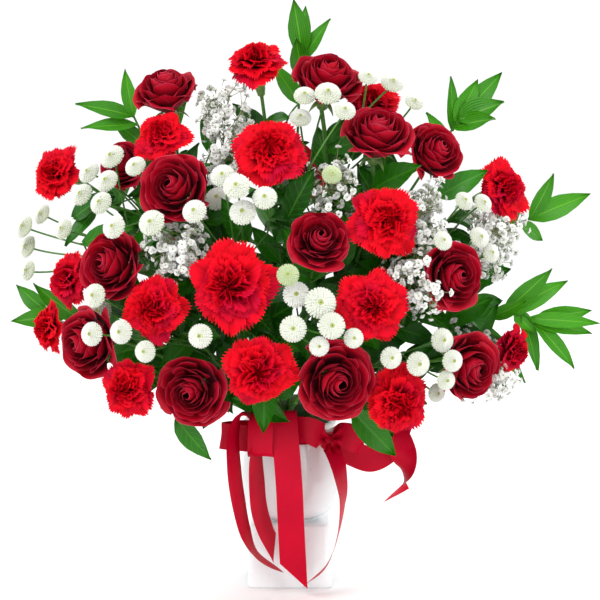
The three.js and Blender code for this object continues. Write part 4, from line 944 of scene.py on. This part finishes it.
def make_stems(bundle, draw):
    piece = Piece(bundle["name"] + "_green", "stems_and_leaves")
    piece.tube(bundle["foot"], [FOOT_RADIUS] * 2, 10, "stem")
    for stem in bundle["stems"]:
        bloom = stem["bloom"]
        radius = KINDS[bloom["kind"]]["stem"]
        line = smooth_line(stem["path"], stem["bent"])
        piece.tube(line, [radius] * 2, STEM_SIDES, "stem", next(draw))
        sepal_cup(piece, bloom)
        add_stem_nodes(piece, line, radius)
        add_inner_leaves(piece, bloom["name"], line, draw)
    for leaf in bundle["leaves"]:
        make_leaf(piece, leaf, draw)
    piece.build(bundle["name"])


JOINT = [(-3.5, 1), (-1.2, 1.25), (0, 1.45), (1.2, 1.25), (3.5, 1)]  # along the stem, share of its radius


def add_stem_nodes(piece, line, radius):
    """Swollen joints on the stem, as cut flowers have."""
    for share in (0.35, 0.68):
        spot = int(share * (len(line) - 1))
        reach = unit(line[spot + 1] - line[spot])
        rings = [line[spot] + reach * x for x, _ in JOINT]
        piece.tube(rings, [radius * swell for _, swell in JOINT], STEM_SIDES, "stem", 0.6)


INNER_LEAVES = 14
RIBBON_TOP = 172


def add_inner_leaves(piece, name, line, draw):
    """Dark leaves low on the stems, which fill the shade between the blooms where there is room."""
    for k in range(INNER_LEAVES):
        root = point_along(list(line), 0.3 + 0.6 * (k + next(draw)) / INNER_LEAVES)
        out = outward(root)
        aside = about(out, TURN * next(draw))
        size = 30 + 26 * next(draw)
        tip = root + unit(out * 0.55 + aside) * size
        if tip[2] < RIBBON_TOP:
            continue
        leaf = clear_leaf(root, tip, size * 0.46, "stem", f"{name} inner {k}", name)
        if leaf:
            make_leaf(piece, leaf, draw)


def make_ruscus(frond, draw):
    piece = Piece(frond["name"] + "_leaves", "ruscus_leaves")
    piece.tube(frond["path"], [FOOT_RADIUS, 1.6, 1.2, 1.0], STEM_SIDES, "stem")
    for leaf in frond["leaves"]:
        make_leaf(piece, leaf, draw)
    piece.build(frond["name"])


# ---- button chrysanthemums and baby's breath ----

# Rings of ray florets: florets, distance of their tips from the axis, height of the tips, length.
BUTTON_RINGS = [
    (30, 1.02, 0.00, 0.36), (30, 0.98, 0.14, 0.34), (27, 0.88, 0.27, 0.32), (23, 0.75, 0.38, 0.30),
    (19, 0.60, 0.46, 0.27), (15, 0.46, 0.51, 0.22), (11, 0.31, 0.53, 0.16),
]
RAY_ROWS = column(0, 0.45, 0.8, 1.0)
RAY_HALF = column(0.5, 0.9, 1.0, 0.55)  # a floret's share of its full width at each row
EYE_FLORETS = 12
YOUNG_HEADS = ("buttons_front head 1", "buttons_top head 8")  # still greenish, with a wide eye


def button_ring(piece, head, ring, draw, young):
    """Ray florets in a ring, each a narrow trough with a rounded tip."""
    count, reach, rise, length = ring
    u, v = over(-1, 1, 3), RAY_ROWS
    for i in range(count):
        azimuth = TURN * (i + 0.4 * next(draw)) / count
        size = 0.94 + 0.1 * next(draw)
        radial = reach - length * (1 - v) * size
        width = 0.82 * math.pi * reach / count * RAY_HALF * u
        height = rise - 0.16 * (1 - v) ** 2 + 0.05 * np.abs(u) + 0.03 * next(draw)
        piece.fan(head, azimuth + width / np.maximum(radial, 0.12), radial, height, "button_ray",
                  along=v, across=young, tone=next(draw))


def button_eye(piece, head, young):
    """The low green-yellow cushion in the middle, with its florets as small bumps in rings."""
    rows = down(0, 1, 6)
    u = circle(2 * EYE_FLORETS)
    size = 0.19 + 0.10 * young
    bump = 0.025 * np.cos(EYE_FLORETS * u) * np.sin(rows * 3 * math.pi)
    height = 0.44 + 0.10 * rows * (1.4 - rows) + bump
    piece.fan(head, u, size * (1 - rows), height, "button_eye", tone=young, closed=True)


def button_back(green, head):
    """The green cup of scales under a head, and the pale core that closes the gaps between its florets."""
    rows = column(0, 0.35, 0.7, 1.0)
    u = circle(16)
    radial = 0.12 + 0.74 * rows ** 0.7 + 0.03 * np.cos(8 * u) * rows
    green.fan(head, u, radial, BUTTON["base"] + 0.40 * rows ** 1.5, "sepal", tone=0.8, closed=True)
    green.fan(head, u, column(0.9, 0.8, 0.5, 0.02), column(-0.02, 0.16, 0.34, 0.42), "button_ray",
              across=0.4, tone=0.1, closed=True)


def make_buttons(spray, draw):
    piece = Piece(spray["name"] + "_heads", "button_florets")
    green = Piece(spray["name"] + "_stalks", "stems_and_leaves")
    green.tube(smooth_trunk(spray), [FOOT_RADIUS, FOOT_RADIUS, BUTTON["stem"]], STEM_SIDES, "stem")
    for head, stalk in spray["stalks"]:
        young = 0.8 if head["name"] in YOUNG_HEADS else 0.15 * next(draw)
        for ring in BUTTON_RINGS:
            button_ring(piece, head, ring, draw, young)
        button_eye(piece, head, young)
        button_back(green, head)
        green.tube(smooth_line(curve(stalk, 2), stalk), [BUTTON["pedicel"]] * 2, 7, "stem", next(draw))
    piece.build(spray["name"])
    green.build()


BREATH_ROWS = column(0, 0.55, 1.0)
BREATH_HALF = column(0.15, 0.5, 0.34)
BREATH_RINGS = [(6, 1.0, 0.1), (6, 0.74, 0.42), (4, 0.4, 0.62)]  # petals, reach and rise


def breath_floret(piece, place, front, radius, draw):
    """A double white floret a few millimetres across: rings of short petals over a green cup."""
    flower = {"place": place, "front": front, "radius": radius}
    u = over(-1, 1, 3)
    for count, reach, rise in BREATH_RINGS:
        for i in range(count):
            azimuth = TURN * (i + next(draw)) / count
            radial = 0.1 + (reach - 0.1) * BREATH_ROWS
            angles = azimuth + u * (BREATH_HALF * reach) / np.maximum(radial, 0.2)
            height = -0.1 + rise * BREATH_ROWS + 0.12 * u**2
            piece.fan(flower, angles, radial, height, "breath_petal", tone=next(draw))
    cup = [place - front * radius * 0.7, place - front * radius * 0.3, place]
    piece.tube(cup, [0.2, 0.5, 0.7], 5, "stem")


TWIG_SIDES = 5
EXTRA_FLORETS = 12
SIDE_TWIGS = 30
CLUSTER = 8
INNER_HALF = 8  # places on a limb's line that dark leaves grow from, behind its florets


def make_breath(spray, draw):
    piece = Piece(spray["name"] + "_florets", "breath_florets")
    piece.tube(smooth_trunk(spray), [FOOT_RADIUS, FOOT_RADIUS, BREATH["stem"]], 8, "twig")
    for i, (limb, line) in enumerate(spray["limbs"]):
        smooth = smooth_line(limb, line)
        piece.tube(smooth, [BREATH["limb"]] * 2, 6, "twig")
        add_inner_leaves(piece, f"{spray['name']} limb {i + 1}", smooth[:INNER_HALF], draw)
        for _ in range(SIDE_TWIGS):
            add_side_twig(piece, list(smooth), draw)
    for root, place in spray["twigs"]:
        piece.tube([root, root * 0.5 + place * 0.5, place], [0.5, 0.35, 0.3], TWIG_SIDES, "twig")
        breath_floret(piece, place, unit(place - root), BREATH["floret"] * 1.1, draw)
        for _ in range(EXTRA_FLORETS):
            add_side_floret(piece, root, place, draw)
    piece.build(spray["name"])


def add_side_twig(piece, limb, draw):
    """A twig that branches off a limb where there is room, with a loose cluster of florets at its end."""
    start = point_along(limb, 0.5 + 0.5 * next(draw))
    aside = unit(scatter(draw))
    end = start + unit(aside + 0.5 * outward(start)) * (14 + 24 * next(draw))
    if is_clear(end, 3.0):
        piece.tube([start, (start + end) / 2 + aside, end], [0.45, 0.35, 0.25], TWIG_SIDES, "twig")
        for _ in range(CLUSTER):
            add_side_floret(piece, start, end, draw)


def add_side_floret(piece, root, place, draw):
    """A smaller floret on a short twig; a few grow even where there is little room."""
    start = root + (place - root) * (0.25 + 0.6 * next(draw))
    aside = unit(scatter(draw))
    end = start + unit(aside + unit(place - root)) * (5 + 14 * next(draw))
    if is_clear(end, 2.0) or next(draw) < 0.6:
        piece.tube([start, (start + end) / 2, end], [0.3, 0.25, 0.2], 4, "twig")
        breath_floret(piece, end, unit(end - start), 2.6 + 1.9 * next(draw), draw)


# ---- urn and ribbon ----

URN_SIDES = 96
CORNER_TURN = math.radians(28)  # a plinth corner takes up the turns from this to a right angle less it


def square_row(width, height):
    """A square with rounded corners, with the same number of points as a circle."""
    corner = PLINTH["corner"]
    flat = width / 2 - corner
    row = []
    for k in range(URN_SIDES):
        quarter, turn = divmod(TURN * k / URN_SIDES, QUARTER)
        if turn < CORNER_TURN:
            x, y = flat + corner, flat * turn / CORNER_TURN
        elif turn > QUARTER - CORNER_TURN:
            x, y = flat * (QUARTER - turn) / CORNER_TURN, flat + corner
        else:
            sweep = (turn - CORNER_TURN) / (QUARTER - 2 * CORNER_TURN) * QUARTER
            x, y = flat + corner * math.cos(sweep), flat + corner * math.sin(sweep)
        c, s = math.cos(quarter * QUARTER), math.sin(quarter * QUARTER)
        row.append((x * c - y * s, x * s + y * c, height))
    return np.array(row)


def circle_row(radius, height):
    angles = circle(URN_SIDES)[0]
    return np.stack([radius * np.cos(angles), radius * np.sin(angles), 0 * angles + height], axis=1)


def lathe_rows(profile, between=5):
    marks = [np.array([radius, height, 0.0]) for radius, height in profile]
    count = between * (len(marks) - 1)
    return [circle_row(*spline_point(marks, i / count)[:2]) for i in range(count + 1)]


def make_urn():
    foot, top, height = PLINTH["foot"], PLINTH["top"], PLINTH["height"]
    rows = [square_row(w, z) for w, z in (
        (foot - 2.4, 0), (foot - 0.8, 0.6), (foot, 2), (foot - 0.4, 5), (top + 0.3, height - 4),
        (top, height - 2), (top - 1, height - 0.6), (top - 3, height))]
    neck, lip, rim = BOWL["neck"], BOWL["lip"], BOWL["rim"]
    rows += [circle_row(28.5, height + 0.1), circle_row(26.6, height + 0.4)]
    rows += lathe_rows([(BOWL["waist"], height + 1), (30, 64), (38, 68), (45.5, 80), (BOWL["belly"], 98),
                        (46.5, 118), (neck, 140), (neck, rim - 8)])
    rows += lathe_rows([(neck + 0.3, rim - 7), (lip - 0.6, rim - 5.6), (lip, rim - 4), (lip, rim - 1.8),
                        (lip - 0.8, rim - 0.4), (lip - 2.4, rim), (39.8, rim - 0.8), (39, 142), (44, 108),
                        (40.5, 82), (32, BOWL["floor"] + 2), (2, BOWL["floor"] + 0.2)], 3)
    piece = Piece("urn_glazed", "urn")
    piece.grid(np.array([circle_row(0, 0), *rows]), "glaze", closed=True)
    piece.build("urn")


RIBBON_ROWS = 64
RIBBON_COLUMNS = 21
ACROSS = down(-1, 1, RIBBON_COLUMNS)
PLEATS = 2
CUT_FROM = 0.85  # the share of a strip's length where its slanting cut begins
NEAR = 1e-3  # a strip's direction is taken this far to either side
BAND_ROWS = 96
BAND_PLEATS = 3
BAND_FOLD = 0.9  # how high the neck band's pleats stand


def inside_knot(knot, mark):
    place = seen(knot)
    return place + unit(seen(mark) - place) * RIBBON["knot"] * 0.5


def width_direction(marks, t):
    spot = min(int(t * (len(marks) - 1)), len(marks) - 2)
    share = t * (len(marks) - 1) - spot
    turn, lean = (math.radians(marks[spot][k] * (1 - share) + marks[spot + 1][k] * share) for k in (3, 4))
    return np.array([math.cos(turn) * math.cos(lean), math.sin(turn) * math.cos(lean), math.sin(lean)])


def ribbon_row(place, run, wide, chord, slant, phase):
    """One line across the ribbon. Where it is gathered, the cloth stands in pleats."""
    face = np.cross(wide, run)
    depth = math.sqrt(max(0, RIBBON["width"] ** 2 - chord**2)) / (2 * PLEATS)
    pleat = depth / 2 * np.cos(PLEATS * math.pi * (ACROSS + 1))
    sway = 0.35 * np.sin(2.2 * ACROSS + phase)
    return place + wide * ACROSS * chord / 2 + run * ACROSS * slant + face * (pleat + sway)


def build_ribbon(name, rows, nodes=()):
    piece = Piece(name, "ribbon")
    piece.grid(np.array(rows), "satin")
    made = piece.build(*nodes)


def make_strip(name, knot, to, cut, held, marks):
    """A course of ribbon through its marks, gathered where it comes out of a knot."""
    first, last = marks[0], marks[-1]
    turned = [*([first] if knot else []), *marks, *([last] if to else [])]
    points = [*([inside_knot(knot, first[:3])] if knot else []), *(seen(mark[:3]) for mark in marks),
              *([inside_knot(to, last[:3])] if to else [])]
    course = [spline_point(points, i / RIBBON_ROWS) for i in range(RIBBON_ROWS + 1)]
    rows = []
    for i, place in enumerate(course):
        t = i / RIBBON_ROWS
        run = unit(spline_point(points, min(1, t + NEAR)) - spline_point(points, max(0, t - NEAR)))
        wide = width_direction(turned, t)
        wide = unit(wide - run * np.dot(wide, run))
        opened = min(1, RIBBON["opens"] * min(t if knot else 1, 1 - t if to else 1))
        chord = RIBBON["gathered"] + (RIBBON["width"] - RIBBON["gathered"]) * opened
        slant = cut / 2 * max(0, (t - CUT_FROM) / (1 - CUT_FROM))
        rows.append(ribbon_row(place, run, wide, chord, slant, 9 * t))
    build_ribbon(f"ribbon_{name}", rows, ["ribbon"])


def make_neck_band():
    radius, low, high = NECK_BAND["radius"] + BAND_FOLD, NECK_BAND["low"], NECK_BAND["high"]
    rows = []
    for i in range(BAND_ROWS + 1):
        angle = TURN * i / BAND_ROWS
        out = np.array([math.cos(angle), math.sin(angle), 0])
        pleat = BAND_FOLD * np.cos(BAND_PLEATS * math.pi * (ACROSS + 1) + 0.6 * math.sin(3 * angle))
        level = (low + high) / 2 + ACROSS * (high - low) / 2
        rows.append(out * (radius + pleat) + np.array([0, 0, 1]) * level)
    build_ribbon("ribbon_neck_band", rows)


def make_knot(name, knot):
    """The wrap of a bow's knot: a pleated band that bulges, round the ribbons that come out of it."""
    radius = RIBBON["knot"]
    polar = math.pi * down(0, 1, 25)
    u = over(0, TURN, 41)
    folds = 1 + 0.07 * np.sin(7 * polar + 0.8 * np.sin(u)) * np.sin(polar)
    x = radius * 0.95 * np.cos(polar) * np.ones_like(u)
    reach = radius * np.sin(polar) ** 0.6 * folds
    y = -reach * np.cos(u) * 0.82
    z = reach * np.sin(u) * 0.98
    piece = Piece(name, "ribbon")
    piece.grid(seen(knot) + np.stack([x, y, z], axis=-1), "satin")
    piece.build()


# ---- materials ----

MATERIALS = {}


class Shade:
    """One procedural material, made of nodes."""

    def __init__(self, name, roughness=0.5, **settings):
        self.material = bpy.data.materials.new(name)
        self.material.use_nodes = True
        self.tree = self.material.node_tree
        self.surface = self.tree.nodes["Principled BSDF"]
        for key, value in dict(settings, Roughness=roughness).items():
            self.put(value, self.surface.inputs[key.replace("_", " ")])
        MATERIALS[name] = self.material

    def put(self, value, socket):
        if isinstance(value, bpy.types.NodeSocket):
            self.tree.links.new(value, socket)
        elif isinstance(value, tuple) and len(value) == 3 and socket.type == "RGBA":
            socket.default_value = (*value, 1)
        elif value is not None:
            socket.default_value = value

    def node(self, kind, **inputs):
        made = self.tree.nodes.new("ShaderNode" + kind)
        for name, value in inputs.items():
            self.put(value, made.inputs[name])
        return made

    def number(self, name):
        node = self.node("Attribute")
        node.attribute_name = name
        return node.outputs["Fac"]

    def noise(self, scale, detail=3.0, stretch=(1, 1, 1)):
        place = self.node("TexCoord").outputs["Object"]
        place = self.node("Mapping", Vector=place, Scale=stretch).outputs["Vector"]
        return self.node("TexNoise", Vector=place, Scale=scale, Detail=detail).outputs["Fac"]

    def cells(self, scale):
        place = self.node("TexCoord").outputs["Object"]
        return self.node("TexVoronoi", Vector=place, Scale=scale).outputs["Distance"]

    def math(self, operation, *values):
        node = self.node("Math")
        node.operation = operation
        for value, socket in zip((*values, 0.0, 0.0), node.inputs):
            self.put(value, socket)
        return node.outputs[0]

    def ramp(self, value, *stops):
        """Colours or numbers at the stops that `value` runs through."""
        node = self.node("ValToRGB", Fac=value)
        elements = node.color_ramp.elements
        while len(elements) < len(stops):
            elements.new(1.0)
        for element, (position, color) in zip(elements, stops):
            element.position = position
            element.color = (*color, 1) if isinstance(color, tuple) else (color, color, color, 1)
        return node.outputs["Color"]

    def grade(self, value, low, high, start=0.3, end=0.7):
        """Numbers from `low` to `high` as `value` goes from `start` to `end`."""
        return self.ramp(value, (start, low), (end, high))

    def mix(self, share, a, b, blend="MIX"):
        node = self.node("Mix")
        node.data_type = "RGBA"
        node.blend_type = blend
        for value, spot in ((share, "Factor"), (a, 6), (b, 7)):  # 6 and 7 are the sockets for colours
            self.put(value, node.inputs[spot])
        return node.outputs[2]

    def finish(self, color, roughness, bump, depth, strength=0.5):
        normal = self.node("Bump", Strength=strength, Distance=depth, Height=bump).outputs["Normal"]
        for name, value in (("Base Color", color), ("Roughness", roughness), ("Normal", normal)):
            self.put(value, self.surface.inputs[name])


def petal_materials():
    s = Shade("carnation_petal", Specular_IOR_Level=0.1)
    # Carnation petals: the dark base of this ramp is painted shade deep in the bloom, and the pale pink last
    # stop at the rim is a painted highlight.
    body = s.ramp(s.number("along"), (0, (0.06, 0, 0.003)), (0.35, (0.20, 0, 0.005)),
                  (0.58, (0.50, 0, 0.008)), (0.80, (0.78, 0, 0.010)), (0.96, (0.88, 0, 0.012)),
                  (1, (0.92, 0.03, 0.04)))
    share = s.math("MULTIPLY", s.grade(s.noise(22, 2), 0, 0.9, 0.42, 0.6), s.number("tone"))
    crimson = s.mix(share, body, (0.48, 0, 0.034))
    veins = s.noise(900, 4, (1, 1, 0.25))
    # The fold ramp darkens the troughs of the folds and ridges: painted shade in the creases.
    folds = s.ramp(s.number("across"), (0, 0.55), (0.45, 0.95), (1, 1))
    s.finish(s.mix(1.0, crimson, folds, "MULTIPLY"), s.grade(veins, 0.55, 0.78), veins, 0.0003)

    s = Shade("rose_petal", Sheen_Weight=0.2, Sheen_Roughness=0.4, Sheen_Tint=(0.75, 0.08, 0.16),
              Specular_IOR_Level=0.2)
    # Rose petals: the dark base of this ramp is painted shade deep in the bloom; a thin darker band lies just
    # inside the rim, and the pale pink rim is a painted highlight.
    body = s.ramp(s.number("along"), (0, (0.03, 0, 0.003)), (0.45, (0.08, 0, 0.005)),
                  (0.78, (0.33, 0, 0.011)), (0.955, (0.50, 0, 0.018)), (0.97, (0.22, 0, 0.012)),
                  (0.985, (0.56, 0.02, 0.06)), (1, (0.66, 0.07, 0.13)))
    share = s.math("MULTIPLY", s.grade(s.noise(30), 0, 0.9, 0.4, 0.7), s.number("tone"))
    grain = s.noise(1400, 3, (1, 1, 0.4))
    s.finish(s.mix(share, body, (0.50, 0, 0.014)), s.grade(grain, 0.48, 0.7), grain, 0.0002)

    s = Shade("button_ray", 0.6, Specular_IOR_Level=0.3)
    white = s.ramp(s.number("along"), (0, (0.60, 0.64, 0.42)), (0.35, (0.86, 0.87, 0.80)),
                   (1, (0.93, 0.93, 0.91)))
    young = s.ramp(s.number("along"), (0, (0.25, 0.40, 0.05)), (1, (0.66, 0.76, 0.42)))
    grain = s.noise(1200)
    s.finish(s.mix(s.number("across"), white, young), s.grade(grain, 0.5, 0.7), grain, 0.0001)

    s = Shade("button_eye", 0.7)
    dots = s.cells(1300)
    body = s.ramp(s.number("along"), (0, (0.80, 0.82, 0.50)), (0.5, (0.70, 0.74, 0.26)),
                  (0.85, (0.40, 0.46, 0.08)), (1, (0.26, 0.32, 0.05)))
    s.finish(s.mix(s.grade(dots, 0, 0.5, 0), body, (0.14, 0.24, 0.02)), None, dots, 0.0006)

    s = Shade("breath_petal", 0.65)
    body = s.ramp(s.number("along"), (0, (0.62, 0.70, 0.42)), (0.3, (0.92, 0.93, 0.88)),
                  (1, (0.97, 0.97, 0.96)))
    s.finish(body, None, s.noise(1500, 2), 0.0001)


def green_materials():
    for name, low, high, rough in (("stem", (0.03, 0.13, 0.008), (0.09, 0.28, 0.025), 0.45),
                                   ("sepal", (0.10, 0.22, 0.04), (0.22, 0.38, 0.10), 0.5),
                                   ("twig", (0.16, 0.19, 0.07), (0.34, 0.38, 0.18), 0.6)):
        s = Shade(name, rough)
        streaks = s.noise(500, 4, (1, 1, 0.15))
        s.finish(s.mix(streaks, low, high), s.grade(streaks, rough - 0.1, rough + 0.15), streaks, 0.0002)
    leaf_material("leaf_top", (0.003, 0.045, 0.001), (0.026, 0.22, 0.002), (0.06, 0.28, 0.012), 0.32, 7)
    leaf_material("leaf_under", (0.02, 0.11, 0.01), (0.05, 0.20, 0.02), (0.12, 0.30, 0.06), 0.55, 7)
    leaf_material("ruscus_top", (0.012, 0.15, 0.001), (0.05, 0.33, 0.002), (0.14, 0.45, 0.02), 0.32, 0)
    leaf_material("ruscus_under", (0.06, 0.25, 0.02), (0.13, 0.38, 0.04), (0.26, 0.50, 0.12), 0.5, 0)


def leaf_material(name, dark, light, vein, rough, pairs):
    """Side veins in `pairs` that run out from the midrib, or veins along the blade where there are none."""
    s = Shade(name, rough, Specular_IOR_Level=0.28)
    across, length = s.number("across"), s.number("along")
    mottle = s.noise(120, 4)
    body = s.mix(s.math("MULTIPLY_ADD", s.number("tone"), 0.6, s.math("MULTIPLY", mottle, 0.4)), dark, light)
    if pairs:
        swept = s.math("SUBTRACT", length, s.math("MULTIPLY", across, 0.22))
        sides = s.ramp(s.math("SINE", s.math("MULTIPLY", swept, pairs * 6.283)), (0, 0), (0.93, 0), (1, 0.6))
    else:
        sides = s.ramp(s.math("SINE", s.math("MULTIPLY", across, 34)), (0, 0), (0.4, 0), (1, 0.45))
    midrib = s.ramp(across, (0, 0.8), (0.05, 0.5), (0.12, 0))
    veins = s.mix(1.0, sides, midrib, "LIGHTEN")
    s.finish(s.mix(veins, body, vein), s.grade(mottle, rough - 0.06, rough + 0.12), veins, 0.0004, 0.6)


def hard_materials():
    s = Shade("satin", 0.4, Specular_IOR_Level=0.11, Anisotropic=0.4)
    weave = s.noise(2600, 2, (1, 1, 0.12))
    red = s.mix(s.noise(30, 2), (0.43, 0, 0.018), (0.64, 0, 0.024))
    s.finish(red, s.grade(weave, 0.34, 0.5), weave, 0.00008)

    s = Shade("glaze", 0.12, Coat_Weight=0.6, Coat_Roughness=0.05, Specular_IOR_Level=0.5)
    cloud = s.noise(9)
    white = s.mix(cloud, (0.82, 0.86, 0.88), (0.88, 0.91, 0.92))
    pits = s.grade(s.noise(320), 0.25, 0, 0.28, 0.36)
    s.finish(s.mix(pits, white, (0.52, 0.52, 0.51)), s.grade(cloud, 0.1, 0.22), s.noise(60, 2), 0.0003, 0.35)

    s = Shade("wet_foam", 0.85)
    pores = s.cells(1500)
    # The pores are darker green: painted shade inside them.
    green = s.mix(s.grade(pores, 1, 0, 0.1, 0.6), (0.05, 0.12, 0.04), (0.015, 0.035, 0.012))
    s.finish(green, s.grade(s.noise(60), 0.6, 0.95), pores, 0.0008)


# ---- floor, light and camera ----

FLOOR_HALF = 6.0  # metres, as are the places of the lights
LIGHTS = [  # name, place, size, power
    ("key", (-0.9, -1.8, 1.9), 1.2, 24),
    ("fill", (1.6, -1.5, 1.1), 1.6, 9),
    ("back", (0.4, 1.6, 1.6), 1.4, 12),
]
LIT_POINT = Vector((0, 0, 0.28))
SENSOR = 36


def make_floor():
    mesh = bpy.data.meshes.new("floor")
    corners = [(x * FLOOR_HALF, y * FLOOR_HALF, 0) for x, y in ((-1, -1), (1, -1), (1, 1), (-1, 1))]
    mesh.from_pydata(corners, [], [(0, 1, 2, 3)])
    mesh.materials.append(Shade("floor", 0.7, Base_Color=(0.96, 0.96, 0.96)).material)
    link("floor", mesh)


def aim(thing, direction):
    thing.rotation_euler = direction.to_track_quat("-Z", "Y").to_euler()


def make_light():
    for name, place, size, power in LIGHTS:
        light = bpy.data.lights.new(name, "AREA")
        light.size, light.energy = size, power
        lamp = link(name, light)
        lamp.location = place
        aim(lamp, LIT_POINT - Vector(place))
    world = bpy.data.worlds.new("studio")
    world.use_nodes = True
    background = world.node_tree.nodes["Background"].inputs
    background["Color"].default_value = (1.0, 1.0, 1.0, 1)
    background["Strength"].default_value = 1.05
    bpy.context.scene.world = world
    bpy.context.scene.view_settings.view_transform = "Standard"


def make_camera():
    camera = bpy.data.cameras.new("camera")
    camera.sensor_width = SENSOR
    camera.lens = SENSOR * EYE_DISTANCE / VIEW_WIDTH
    camera.clip_end = 50
    eye = link("camera", camera)
    eye.location = EYE * MM
    aim(eye, Vector((EYE_TARGET - EYE) * MM))
    bpy.context.scene.camera = eye


def main():
    make_camera()
    petal_materials()
    green_materials()
    hard_materials()
    grown = plant_everything()
    makers = ((make_bloom, 1), (make_stems, 401), (make_ruscus, 421), (make_buttons, 441), (make_breath, 461))
    for (make, seed), things in zip(makers, grown):
        for i, thing in enumerate(things):
            make(thing, draws(seed + i))
    make_urn()
    for strip in RIBBON_STRIPS:
        make_strip(*strip)
    make_neck_band()
    make_knot("ribbon_left_knot", LEFT_KNOT)
    make_knot("ribbon_right_knot", RIGHT_KNOT)
    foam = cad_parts["floral_foam"].data.materials
    foam.clear()
    foam.append(MATERIALS["wet_foam"])
    make_floor()
    make_light()


main()
